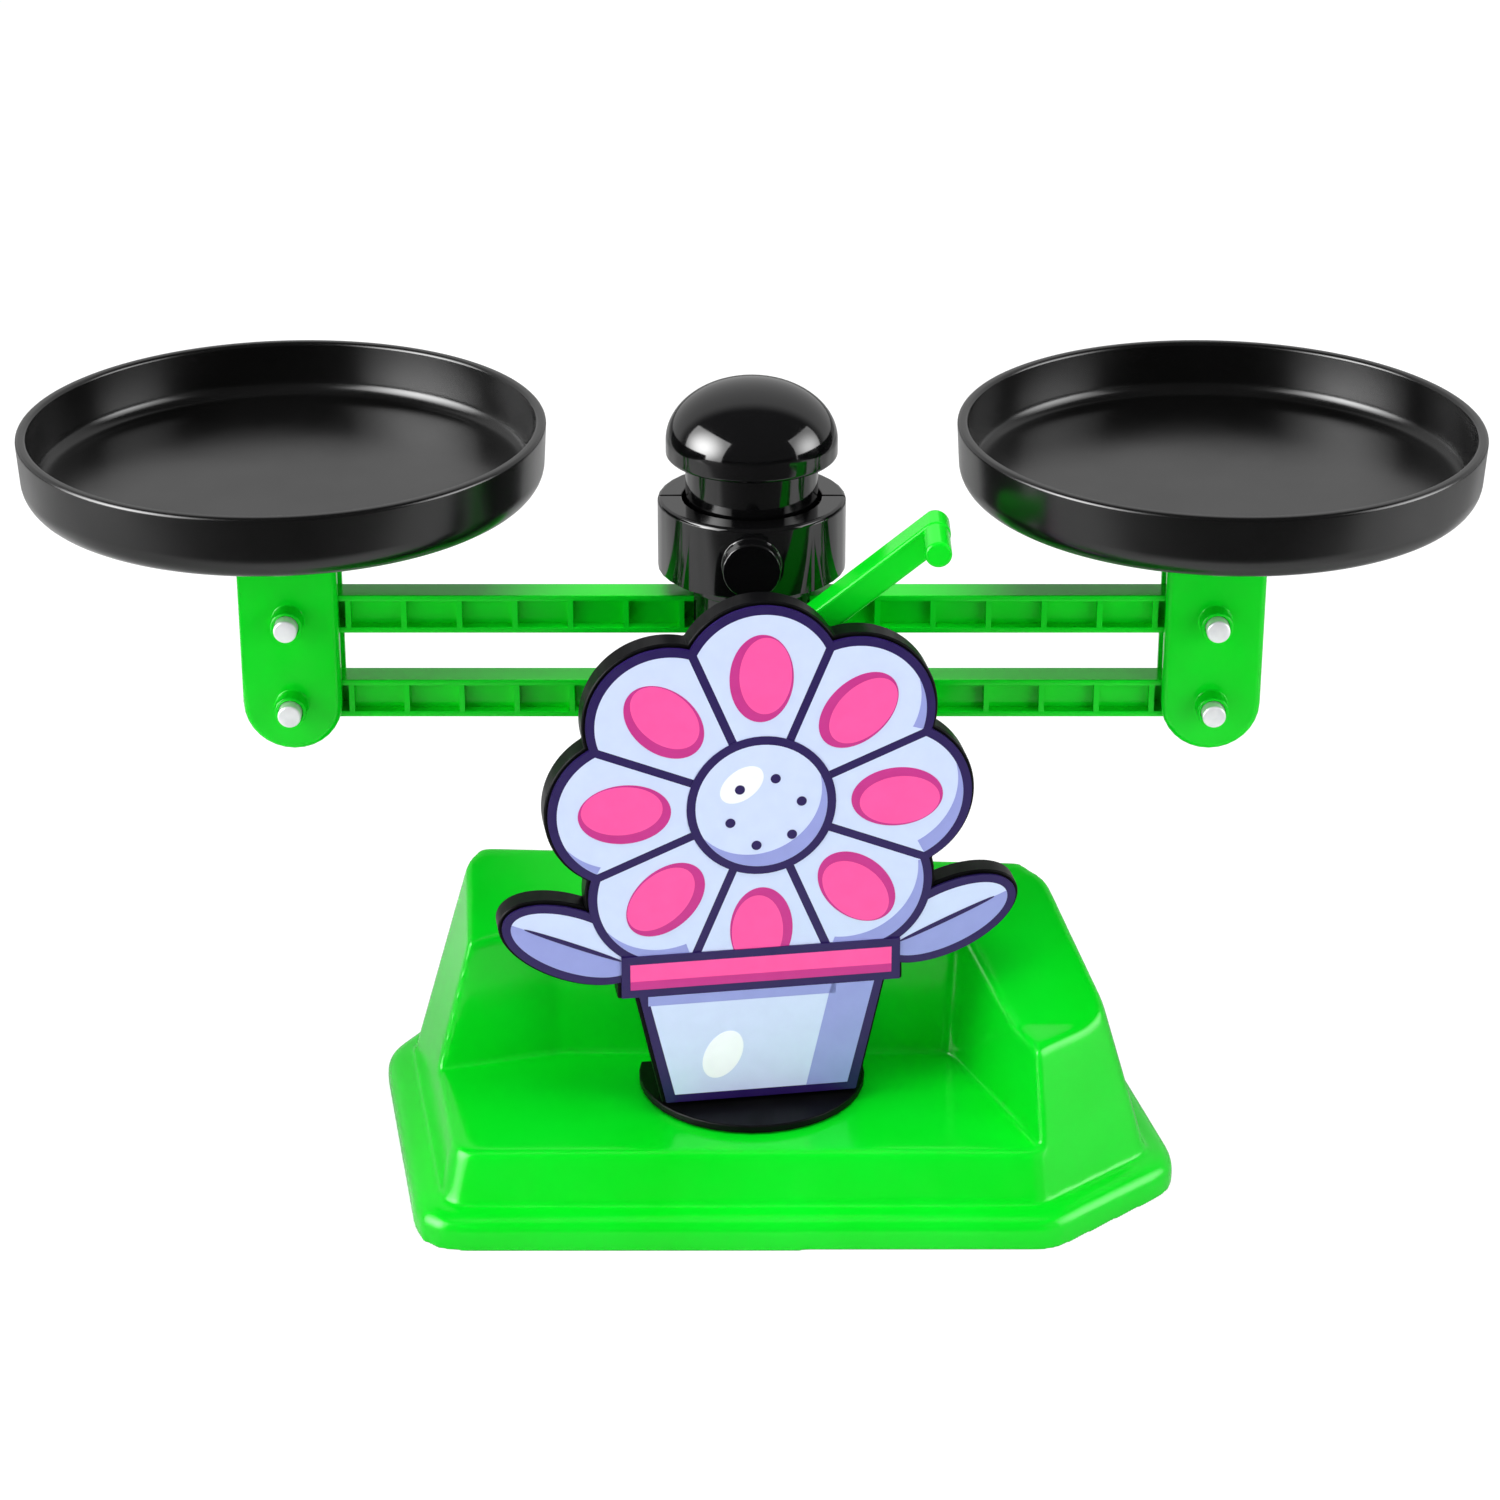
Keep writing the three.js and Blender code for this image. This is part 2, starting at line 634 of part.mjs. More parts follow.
function buildCarrier(x) {
  const half = CARRIER_D / 2;
  const bridgeZ = PAN_Z - FIT - CARRIER_BRIDGE;
  const forkY = FORK_GAP / 2;
  let carrier = slab(carrierOutline(x), -half, half).subtract(
    block(x - CARRIER_W, x + CARRIER_W, -forkY, forkY, 0, bridgeZ),
  );
  for (const z of [UPPER_Z, LOWER_Z]) {
    const bossY = half + CARRIER_BOSS_OUT;
    carrier = carrier
      .add(rodY(CARRIER_BOSS_R, -bossY, -half + OVER, x, z))
      .add(rodY(CARRIER_BOSS_R, half - OVER, bossY, x, z))
      .subtract(rodY(PIN_R + PRESS, -bossY - OVER, bossY + OVER, x, z));
  }
  for (const pegX of pegPlaces(x)) {
    carrier = carrier.subtract(rodZ(PAN_PEG_R + FIT, bridgeZ - OVER, PAN_Z, pegX, 0));
  }
  return carrier;
}

function buildPan(x) {
  const rim = PAN_Z + PAN_H;
  const floor = PAN_Z + PAN_FLOOR;
  const inner = PAN_R - PAN_WALL;
  const profile = [
    [0, PAN_Z],
    ...quarter(PAN_R - PAN_FILLET, PAN_Z + PAN_FILLET, PAN_FILLET, PAN_FILLET, 270, 360),
    [PAN_R, rim],
    [inner, rim],
    ...quarter(
      inner - PAN_INNER_FILLET,
      floor + PAN_INNER_FILLET,
      PAN_INNER_FILLET,
      PAN_INNER_FILLET,
      360,
      270,
    ),
    [0, floor],
  ];
  let pan = turnedAndMoved(turned(profile, PAN_ROUND), UPRIGHT, x, 0, 0);
  for (const pegX of pegPlaces(x)) {
    pan = pan
      .add(rodZ(PAN_PEG_R, PAN_Z - CARRIER_BRIDGE, PAN_Z + OVER, pegX, 0))
      .subtract(rodZ(SCREW_R + PRESS, 0, PAN_Z + PRESS, pegX, 0));
  }
  return pan;
}

function addSide(side, x) {
  addPiece(`${side}_carrier`, buildCarrier(x), green);
  addPiece(`${side}_pan`, buildPan(x), panBlack);
  const seat = PAN_Z - FIT - CARRIER_BRIDGE - FIT;
  const headR = FORK_GAP / 2 - SWING;
  pegPlaces(x).forEach((pegX, i) => {
    const placed = turnedAndMoved(screw(CARRIER_BRIDGE, headR), UPRIGHT, pegX, 0, seat);
    addPiece(`${side}_pan_screw_${i + 1}`, placed, steel);
  });
  const halfLength = CARRIER_D / 2 + CARRIER_BOSS_OUT + PIN_OUT;
  addPiece(`${side}_upper_pin`, pin(halfLength, x, UPPER_Z), steel);
  addPiece(`${side}_lower_pin`, pin(halfLength, x, LOWER_Z), steel);
}

// Lock lever, in a group that is turned about the shaft; the bar runs along the group's X

function addLock() {
  const back = -(COLLAR_R + SWING);
  const front = back - LEVER_D;
  const slotY = BEAM_W / 2;
  const barZ = LEVER_HUB_R - LEVER_H / 2;
  const group = new THREE.Group();
  group.position.set(0, 0, LOCK_Z);
  group.rotation.y = -LEVER_ANGLE;
  balance.add(group);
  const lever = rodY(LEVER_HUB_R, front, back, 0, 0, BOSS_ROUND)
    .add(block(0, LEVER_L, front, back, LEVER_HUB_R - LEVER_H, LEVER_HUB_R))
    .add(rodY(LEVER_H / 2, front, back, LEVER_L, barZ))
    .add(rodY(PEG_R, front - PEG_OUT, back, LEVER_L, barZ))
    .subtract(rodY(SHAFT_R + FIT, front - OVER, back + OVER, 0, 0));
  const cam = rodY(CAM_R, -slotY, slotY, 0, 0).intersect(
    block(-CAM_R, CAM_R, -slotY, slotY, -CAM_FLAT, CAM_FLAT),
  );
  const shaft = rodY(SHAFT_R, front + FIT, SHAFT_SEAT + slotY, 0, 0)
    .add(cam)
    .subtract(rodY(SCREW_R + PRESS, front, front + LOCK_SCREW_BITE + FIT, 0, 0));
  const lockScrew = turnedAndMoved(screw(LOCK_SCREW_BITE, LOCK_HEAD_R), TO_BACK, 0, front - FIT, 0);
  addPiece("lock_lever", lever, green, group);
  addPiece("lock_shaft", shaft, steel, group);
  addPiece("lock_screw", lockScrew, steel, group);
}

// Plaque: a potted flower cut from board, on a round stand; the group is turned about Z

function standScrewPlaces() {
  const y = TONGUE_FRONT + TONGUE_D / 2;
  return [-STAND_SCREW_X, STAND_SCREW_X].map((x) => [
    x * Math.cos(PLAQUE_TURN) - y * Math.sin(PLAQUE_TURN),
    STAND_Y + x * Math.sin(PLAQUE_TURN) + y * Math.cos(PLAQUE_TURN),
  ]);
}

// Outline of the ring of petals: each petal is an arc of a circle set round the flower's centre.
function flowerShape(inset) {
  const radius = PETAL_R - inset;
  const points = [];
  const steps = PETALS * PETAL_STEPS;
  for (let i = 0; i < steps; i++) {
    const angle = (i / steps) * 2 * Math.PI;
    const pitch = (2 * Math.PI) / PETALS;
    const off = angle - Math.round(angle / pitch) * pitch;
    const across = PETAL_REACH * Math.sin(off);
    const reach = PETAL_REACH * Math.cos(off) + Math.sqrt(radius ** 2 - across ** 2);
    points.push(new THREE.Vector2(reach * Math.cos(angle), FLOWER_Z + reach * Math.sin(angle)));
  }
  return new THREE.Shape(points);
}

function potShape(inset) {
  const rim = POT_RIM_W / 2 - inset;
  const top = POT_TOP_W / 2 - inset;
  const foot = POT_FOOT_W / 2 - inset;
  const rimZ = POT_H - POT_RIM_H;
  const shape = new THREE.Shape();
  shape.moveTo(-foot, inset);
  shape.lineTo(foot, inset);
  shape.lineTo(top, rimZ + inset);
  shape.lineTo(rim, rimZ + inset);
  shape.lineTo(rim, POT_H - inset);
  shape.lineTo(-rim, POT_H - inset);
  shape.lineTo(-rim, rimZ + inset);
  shape.lineTo(-top, rimZ + inset);
  return shape;
}

function leafShape(side, inset) {
  const shape = new THREE.Shape();
  const turn = side * LEAF_TURN;
  const [length, width] = [LEAF_L / 2 - inset, LEAF_W / 2 - inset];
  shape.absellipse(side * LEAF_X, LEAF_Z, length, width, 0, 2 * Math.PI, false, turn);
  return shape;
}

function plaqueOutline(y0, y1, inset) {
  return slab(flowerShape(inset), y0, y1)
    .add(slab(potShape(inset), y0, y1))
    .add(slab(leafShape(-1, inset), y0, y1))
    .add(slab(leafShape(1, inset), y0, y1));
}

function addPlaque() {
  const group = new THREE.Group();
  group.position.set(0, STAND_Y, PLATFORM_Z + FIT);
  group.rotation.z = PLAQUE_TURN;
  balance.add(group);
  const tongueBack = TONGUE_FRONT + TONGUE_D;
  const boardBack = TONGUE_FRONT - FIT;
  const boardFront = boardBack - BOARD_T;
  const printBack = boardFront - FIT;
  const wallGap = RECESS_BACK - FIT - STAND_Y - STAND_R * Math.sin(PLAQUE_TURN);
  const standBack = wallGap / Math.cos(PLAQUE_TURN);
  let stand = rodZ(STAND_R, 0, STAND_H, 0, 0, ROUND)
    .subtract(block(-STAND_R, STAND_R, standBack, STAND_R, -OVER, STAND_H + OVER))
    .add(block(-TONGUE_W / 2, TONGUE_W / 2, TONGUE_FRONT, tongueBack, STAND_H / 2, TONGUE_H));
  for (const x of [-STAND_SCREW_X, STAND_SCREW_X]) {
    const y = TONGUE_FRONT + TONGUE_D / 2;
    stand = stand.subtract(rodZ(SCREW_R + PRESS, -OVER, STAND_SCREW_BITE + PRESS, x, y));
  }
  const footZ = STAND_H + FIT;
  let board = turnedAndMoved(plaqueOutline(boardFront, boardBack, 0), UPRIGHT, 0, 0, footZ);
  const sheet = plaqueOutline(printBack - PRINT_T, printBack, PRINT_INSET);
  const bite = BOARD_T - PLAQUE_SKIN;
  PLAQUE_SCREW_Z.forEach((z, i) => {
    stand = stand.subtract(rodY(SCREW_R + FIT, TONGUE_FRONT - OVER, tongueBack + OVER, 0, z));
    board = board.subtract(rodY(SCREW_R + PRESS, boardBack - bite - PRESS, boardBack + OVER, 0, z));
    const shank = tongueBack + FIT - boardBack + bite;
    const placed = turnedAndMoved(screw(shank), TO_FRONT, 0, tongueBack + FIT, z);
    addPiece(`plaque_screw_${i + 1}`, placed, steel, group);
  });
  addPiece("plaque_stand", stand, black, group);
  addPiece("plaque_board", board, black, group);
  addPiece("plaque_print", turnedAndMoved(sheet, UPRIGHT, 0, 0, footZ), print, group);
  standScrewPlaces().forEach(([x, y], i) => {
    const seat = PLATFORM_Z - WALL - FIT;
    const shank = WALL + 2 * FIT + STAND_SCREW_BITE;
    addPiece(`stand_screw_${i + 1}`, turnedAndMoved(screw(shank), UPRIGHT, x, y, seat), steel);
  });
}

addPiece("base_shell", buildBase(), green);
addColumn();
addPiece("top_knob", buildKnob(), black);
addPiece("upper_beam", buildBeam(UPPER_Z), green);
addPiece("lower_beam", buildBeam(LOWER_Z), green);
addSide("left", -ARM);
addSide("right", ARM);
addLock();
addPlaque();

export default balance;
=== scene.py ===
"""Looks of a toy two-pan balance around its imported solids.

Lengths are millimetres, or metres where a name ends in _M. Angles are degrees.
"""

import json
import math

import bmesh
import bpy
import numpy as np
from mathutils import Matrix, Vector

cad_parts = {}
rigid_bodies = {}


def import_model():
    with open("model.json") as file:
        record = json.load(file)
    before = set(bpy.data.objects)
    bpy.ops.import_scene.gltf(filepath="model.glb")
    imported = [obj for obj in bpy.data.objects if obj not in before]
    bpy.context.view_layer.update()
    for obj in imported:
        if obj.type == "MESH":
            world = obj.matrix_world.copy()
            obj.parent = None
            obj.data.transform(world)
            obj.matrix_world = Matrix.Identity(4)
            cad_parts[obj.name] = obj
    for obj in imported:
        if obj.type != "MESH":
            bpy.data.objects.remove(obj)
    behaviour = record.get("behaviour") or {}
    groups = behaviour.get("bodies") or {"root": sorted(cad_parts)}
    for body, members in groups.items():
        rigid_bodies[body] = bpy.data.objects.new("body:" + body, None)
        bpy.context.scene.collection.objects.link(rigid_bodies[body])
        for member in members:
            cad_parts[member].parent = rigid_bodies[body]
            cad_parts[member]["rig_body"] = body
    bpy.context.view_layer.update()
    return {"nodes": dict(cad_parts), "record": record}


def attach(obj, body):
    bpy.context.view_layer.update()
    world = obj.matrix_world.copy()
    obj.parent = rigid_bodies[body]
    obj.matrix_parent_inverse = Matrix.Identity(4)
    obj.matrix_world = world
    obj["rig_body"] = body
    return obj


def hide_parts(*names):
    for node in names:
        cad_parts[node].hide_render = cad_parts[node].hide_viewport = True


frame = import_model()

MM = 0.001

# Camera of the photograph
CAMERA_M = (-0.0004, -0.8584, 0.4806)
CAMERA_PITCH = 24.44
LENS = 96
SENSOR = 36

# Light tent: its glow in front and behind, the part of a direction's Y over which the one turns
# into the other, the point that its panels face, and how far off its sheets and lamps stand
TENT_FRONT = 0.08
TENT_BACK = 0.68
TENT_TURN_START = 0.2
TENT_TURN_END = 0.48
LIT_POINT_M = (0, 0, 0.1)
SHEET_DISTANCE_M = 1.1
LAMP_DISTANCE_M = 1.0

# Sheets that show in the gloss: name, angle to the right of the front, angle above the floor, width
# and height in metres, glow of the edge and of the middle, and metres from the one to the other
SHEETS = (
    ("sheet_left", -68, 19, 1.26, 1.1, 4, 20, 0.68),
    ("sheet_right", 81, 13, 0.84, 1.1, 2.4, 9.5, 0.55),
)

# Lamps that light the colours: name, the same two angles, size in metres and glow
LAMPS = (
    ("lamp_above", 0, 86, 0.9, 5.2),
    ("lamp_left", -65, 19, 0.7, 3),
    ("lamp_right", 50, 13, 0.7, 2.9),
    ("lamp_front", -20, 10, 0.7, 0.7),
)

# Paper floor: half its width, how far it lies below the foot, where it ends for the gloss, half the
# length over which it ends, how white the gloss sees it, scale and detail of its grain, the grain's
# two greys and the noise at which they start, how much of the camera's view of it is a plain glow,
# and how strong that is
FLOOR_HALF_M = 6
FLOOR_DROP = 0.05
PAPER_EDGE_M = -0.26
PAPER_BLUR_M = 0.04
PAPER_GLOSS = 0.45
PAPER_GRAIN = (3, 2)
PAPER_DARK = (0.05, 0.05, 0.05, 1)
PAPER_LIGHT = (0.78, 0.78, 0.78, 1)
PAPER_DARK_AT = 0.05
PAPER_LIGHT_AT = 0.3
PAPER_SEEN = 0.74
PAPER_GLOW = 1.24

# Noise between these two values spreads over the whole range of a finish
NOISE_LOW = 0.3
NOISE_HIGH = 0.7

# Inks of the print as 8-bit screen values, and how much darker their mottle goes
INK_COLOURS = {
    "navy": (38, 20, 86),
    "pale": (204, 217, 248),
    "shade": (148, 156, 218),
    "pink": (255, 84, 164),
    "magenta": (198, 46, 138),
    "white": (246, 249, 255),
}
INK_MOTTLE = 4

# Edges: what counts as sharp in a solid and in a piece made here, the angle up to which faces shade
# as one, the angle up to which they are one, points that are one, and the offset of faces that
# would lie in one plane
SHARP_ANGLE = 40
ROUNDED_ANGLE = 60
SMOOTH_ANGLE = 38
FLAT_ANGLE = 0.6
WELD_M = 1e-6
HAIR = 0.05

# Facets: sides of turned pieces, steps of a small round, and the radius that counts as none
SMALL_SIDES = 32
SIDES = 48
HUB_SIDES = 64
KNOB_SIDES = 128
PAN_SIDES = 144
ROUND_STEPS = 5
ON_AXIS = 1e-9

# Base: fineness of its remesh, turns that round its edges and the share of the way that a point
# goes in each, what an inward crease and the foot take of that, the share of its faces that is kept,
# the angle up to which it shades as one, and the screw seats that stay as they are
BASE_VOXEL = 0.65
BASE_TURNS = 22
BASE_PULL = 0.5
BASE_CREASE = 0.12
BASE_FOOT = 1.2
BASE_FOOT_SHARE = 0.5
BASE_KEPT = 0.35
BASE_SMOOTH_ANGLE = 50
SEAT_CLEAR = 5
BASE_SCREW_Y = 7
STAND_SCREW_X = 7
STAND_SCREW_Y = -3.5

# Rounds of the column halves and of the plaque's stand
COLUMN_ROUND = 0.4
COLUMN_SEGMENTS = 3
STAND_ROUND = 0.4
STAND_SEGMENTS = 2

# Beams
ARM = 106.8
BEAM_H = 9.4
BEAM_W = 7.5
BEAM_WEB = 2
BEAM_FLANGE = 1.5
BEAM_RIB = 1.3
RIBS = 7
FIRST_RIB = 16.2
LAST_RIB = 93.3
BEAM_HUB_X = 7
BEAM_SKIN = 1.2
BEAM_BOSS_R = 4.2
BEAM_BOSS_Y = 4.2
BEAM_HOLE_R = 3
BEAM_ROUND = 0.3
BEAM_SEGMENTS = 2
BEAM_END_STEPS = 24

# Carriers: outer faces, how near a point lies to count as theirs, and the rounds of the edges
CARRIER_FACE_Y = 7.5
CARRIER_NEAR = 0.01
CARRIER_ROUND = 1.6
CARRIER_SEGMENTS = 5
CARRIER_INNER_ROUND = 0.35
CARRIER_INNER_SEGMENTS = 2

# Lock lever: the bar's underside leaves the hub over a share of the bar's height
LEVER_ANGLE = 39.5
LEVER_HUB_R = 8.4
LEVER_BORE_R = 3.3
LEVER_H = 6.5
LEVER_L = 57.4
LEVER_THROAT = 0.6
LEVER_FRONT = -30.65
LEVER_BACK = -22.25
LEVER_ROUND = 0.8
LEVER_SEGMENTS = 4
LEVER_END_STEPS = 20
PEG_R = 3
PEG_FRONT = -42.25

# Pans: a ring of points lies on the flat floor at a share of the radius
PAN_Z = 156.5
PAN_R = 60
PAN_H = 15.5
PAN_WALL = 2.5
PAN_FLOOR = 2.6
PAN_RING = 0.5
PAN_FILLET = 6
PAN_FILLET_STEPS = 10
PAN_INNER_FILLET = 3.6
PAN_INNER_STEPS = 8
RIM_ROUND = 0.9
PAN_DRAFT = 0.5
PAN_PEG_X = 6.2
PAN_PEG_R = 2.8
PAN_PEG_L = 4.7
PAN_PEG_BORE_R = 1.4

# Pivots and pins
UPPER_Z = 126.6
LOWER_Z = 105.4
LOCK_Z = 116
PIN_R = 2.7
PIN_HALF = 14.7
PIN_ROUND = 0.5
PIN_STEPS = 4

# Screws: shank, head, height of the head's rim and its edge, and the cross, whose bars reach a
# share of the head's radius and start clear above it
SCREW_R = 1.25
HEAD_R = 2.8
HEAD_H = 2.2
HEAD_RIM = 0.9
HEAD_EDGE = 0.15
HEAD_STEPS = 6
CROSS_W = 0.75
CROSS_DEPTH = 1.1
CROSS_SHARE = 0.62
CROSS_OVER = 1

# Column screws: across, height, depth of the seat and length of the shank, and how far around them
# the column's edges stay crisp
COLUMN_SCREWS = (
    (-13, 141.6, 9.3, 16.7),
    (13, 141.6, 9.3, 16.7),
    (-8, 88, 5.3, 12.7),
    (8, 88, 5.3, 12.7),
)
COLUMN_HOLE_CLEAR = 4.4

# Seats, shanks and wider heads of the other screws
BASE_SHANK = 16.5
PAN_SEAT_Z = 151.2
PAN_SHANK = 4.7
PAN_HEAD_R = 3.9
LOCK_SEAT_Y = -30.95
LOCK_SHANK = 12
LOCK_HEAD_R = 4.6
PLAQUE_SEAT_Y = -0.2
PLAQUE_SEATS_UP = (22, 36)
PLAQUE_SHANK = 10.8
STAND_SEAT_Z = 17.4
STAND_SHANK = 13.2

# Top knob
KNOB_STEM = [(0, 139.9), (7, 139.9), (7, 141.8), (5, 141.8), (5, 145.9)]
NECK_R = 15.2
NECK_Z = 145.9
NECK_CHAMFER = 0.6
NECK_FILLET = 0.8
NECK_STEPS = 4
BRIM_R = 19.65
BRIM_Z = 164.6
BRIM_H = 3.6
BRIM_ROUND = 0.9
DOME_H = 14
DOME_STEPS = 28

# Plaque: its frame stands on the platform, turned a little to the right
PLAQUE_TURN = 9
PLAQUE_Y = -32.6
PLAQUE_Z = 20.6
BOARD_FOOT = 2.3
BOARD_FRONT = -12.8
BOARD_BACK = -6.8
BOARD_ROUND = 0.35
BOARD_SEGMENTS = 2
BOARD_STEP = 0.04
PETALS = 8
PETAL_R = 19
PETAL_REACH = 30
PETAL_STEPS = 32
FLOWER_Z = 75
POT_H = 40
POT_RIM_H = 12
POT_RIM_W = 66
POT_TOP_W = 58
POT_FOOT_W = 46
LEAF_L = 36
LEAF_W = 19
LEAF_X = 43
LEAF_Z = 43
LEAF_TURN = 24

# Print: its place on the board, its strokes and what lies inside them, and the height of a layer
PRINT_FRONT = -13.7
PRINT_BACK = -13.1
PRINT_INSET = 0.8
STROKE = 2.0
INKED = PRINT_INSET + STROKE
LAYER = 0.05

# Shades along round rims: where they are thickest, how far they reach to either side, the least
# length that is drawn, and the share of the depth that is left at their ends
SHADE_HEADING = -62
SHADE_REACH = 88
SHADE_LEAST = 8
SHADE_END = 0.02
SHADE_STEPS = 40

# Leaf: its lower half's steps, and its vein as a share of its length and half a width
LEAF_STEPS = 40
VEIN_SHARE = 0.8
VEIN_HALF = 0.55

# Petal: steps of its rim, depth of its shade, and its two spots as along, across, half length and
# half width
PETAL_RIM_STEPS = 40
PETAL_SHADE = 3.4
PETAL_SPOT = (31, 0, 10.5, 7.2)
PETAL_SPOT_LIT = (31.6, -0.9, 9.2, 5.9)

# Flower's eye: its shade, its glint as x, z, half length, half width and turn, and its seeds
EYE_R = 17
EYE_SHADE = 3.6
EYE_SHADE_START = -150
EYE_SHADE_END = 26
EYE_GLINT = (-4.5, FLOWER_Z + 5.5, 5.6, 3.6, 38)
SEEDS = 6
SEED_TURN = 15
SEED_RING = 8.4
SEED_R = 1.15
SEED_X = 1
SEED_Z = -1.6
SEED_STEPS = 24

# Pot: heights of the shades on and under its rim, the shares of its width at which the shades start
# and end, and its glint
RIM_SHADE_H = 2.1
BODY_SHADE_H = 2.4
BODY_SHADE_END = 0.66
SIDE_SHADE_FOOT = 0.52
SIDE_SHADE_TOP = 0.62
POT_GLINT = (-9, 12.5, 6.4, 4.2, 62)


# Materials


def srgb(red, green, blue):
    """A colour written as 8-bit screen values, as linear light with full alpha."""
    linear = []
    for value in (red, green, blue):
        share = value / 255
        linear.append(share / 12.92 if share <= 0.04045 else ((share + 0.055) / 1.055) ** 2.4)
    return (*linear, 1)


class Finish:
    """A Principled material that varies with noise in the piece's own coordinates."""

    def __init__(self, name, **sockets):
        self.material = bpy.data.materials.new(name)
        self.material.use_nodes = True
        self.tree = self.material.node_tree
        self.shader = self.tree.nodes["Principled BSDF"]
        for socket, value in sockets.items():
            self.shader.inputs[socket.replace("_", " ")].default_value = value
        self.coords = self.tree.nodes.new("ShaderNodeTexCoord").outputs["Object"]

    def noise(self, scale, detail, stretch=(1, 1, 1)):
        mapping = self.tree.nodes.new("ShaderNodeMapping")
        mapping.inputs["Scale"].default_value = stretch
        self.tree.links.new(self.coords, mapping.inputs["Vector"])
        made = self.tree.nodes.new("ShaderNodeTexNoise")
        made.inputs["Scale"].default_value = scale
        made.inputs["Detail"].default_value = detail
        self.tree.links.new(mapping.outputs["Vector"], made.inputs["Vector"])
        return made.outputs["Fac"]

    def colour(self, fac, dark, light, start=NOISE_LOW, end=NOISE_HIGH):
        ramp = self.tree.nodes.new("ShaderNodeValToRGB")
        first, last = ramp.color_ramp.elements
        first.position, first.color = start, dark
        last.position, last.color = end, light
        self.tree.links.new(fac, ramp.inputs["Fac"])
        self.tree.links.new(ramp.outputs["Color"], self.shader.inputs["Base Color"])

    def gloss(self, fac, low, high):
        ranged = self.tree.nodes.new("ShaderNodeMapRange")
        ranged.inputs["From Min"].default_value = NOISE_LOW
        ranged.inputs["From Max"].default_value = NOISE_HIGH
        ranged.inputs["To Min"].default_value = low
        ranged.inputs["To Max"].default_value = high
        self.tree.links.new(fac, ranged.inputs["Value"])
        self.tree.links.new(ranged.outputs["Result"], self.shader.inputs["Roughness"])

    def relief(self, heights):
        """Bumps in turn, from (noise, strength, depth in millimetres)."""
        normal = None
        for fac, strength, depth in heights:
            bump = self.tree.nodes.new("ShaderNodeBump")
            bump.inputs["Strength"].default_value = strength
            bump.inputs["Distance"].default_value = depth * MM
            self.tree.links.new(fac, bump.inputs["Height"])
            if normal is not None:
                self.tree.links.new(normal, bump.inputs["Normal"])
            normal = bump.outputs["Normal"]
        self.tree.links.new(normal, self.shader.inputs["Normal"])


def surface(name, colour, gloss, relief, **sockets):
    """A material from a colour (grain, dark, light), a roughness (grain, low, high) and a relief.

    The relief is a list of (grain, strength, depth in millimetres). A grain is the scale, the detail
    and, where it isn't even, the stretch of a noise.
    """
    made = Finish(name, **sockets)
    grain, *ends = colour
    made.colour(made.noise(*grain), *ends)
    grain, *ends = gloss
    made.gloss(made.noise(*grain), *ends)
    made.relief([(made.noise(*grain), strength, depth) for grain, strength, depth in relief])
    return made.material


def ink(name, values):
    mottle = [max(value - INK_MOTTLE, 0) for value in values]
    return surface(
        "ink_" + name,
        colour=((240, 4), srgb(*mottle), srgb(*values)),
        gloss=((420, 3), 0.3, 0.4),
        relief=[((2400, 2), 0.08, 0.03)],
        Specular_IOR_Level=0.35,
    )


INKS = {name: ink(name, values) for name, values in INK_COLOURS.items()}
INK_ORDER = list(INKS)
LOOKS = {
    "green_plastic": surface(
        "green_plastic",
        colour=((28, 3), srgb(3, 212, 25), srgb(7, 222, 36)),
        gloss=((180, 3), 0.13, 0.2),
        relief=[((60, 1), 0.05, 0.2), ((1800, 2), 0.03, 0.05)],
        Specular_IOR_Level=0.26,
    ),
    "black_plastic": surface(
        "black_plastic",
        colour=((45, 3), srgb(6, 6, 7), srgb(11, 11, 12)),
        gloss=((260, 4, (1, 1, 0.15)), 0.05, 0.13),
        relief=[((90, 1), 0.1, 0.12), ((2200, 2), 0.03, 0.03)],
        Specular_IOR_Level=0.62,
    ),
    "pan_plastic": surface(
        "pan_plastic",
        colour=((35, 3), srgb(4, 4, 4), srgb(8, 8, 8)),
        gloss=((60, 2), 0.2, 0.25),
        relief=[((45, 1), 0.04, 0.12), ((900, 2), 0.02, 0.04)],
        Specular_IOR_Level=0.54,
    ),
    "board_plastic": surface(
        "board_plastic",
        colour=((120, 3), srgb(6, 6, 7), srgb(12, 12, 14)),
        gloss=((300, 3, (1, 0.1, 1)), 0.3, 0.45),
        relief=[((900, 3, (1, 0.08, 1)), 0.25, 0.08)],
        Specular_IOR_Level=0.08,
    ),
    "print_film": INKS["navy"],
    "steel": surface(
        "steel",
        colour=((300, 2), srgb(228, 230, 233), srgb(246, 247, 249)),
        gloss=((900, 3, (1, 0.05, 1)), 0.3, 0.38),
        relief=[((2600, 2, (1, 0.04, 1)), 0.05, 0.02)],
        Metallic=0.25,
    ),
}
SLOT_OF = {row["node"]: row["material_slot"] for row in frame["record"]["subparts"]}


# Pieces


def piece(name, mesh, nodes, materials=None):
    """Puts a finished mesh in the scene in place of CAD nodes of one body."""
    made = bpy.data.objects.new(name, mesh)
    bpy.context.scene.collection.objects.link(made)
    slot = SLOT_OF[nodes[0]]
    for look in materials or [LOOKS[slot]]:
        mesh.materials.append(look)
    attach(made, frame["nodes"][nodes[0]]["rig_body"])
    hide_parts(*nodes)
    return made


def shown(node, mesh, angle=SMOOTH_ANGLE):
    """Puts a mesh in the scene in place of a CAD node, shaded as one up to an angle."""
    mesh.name = node + "_visual"
    for face in mesh.polygons:
        face.use_smooth = True
    mesh.set_sharp_from_angle(angle=math.radians(angle))
    return piece(node + "_visual", mesh, [node])


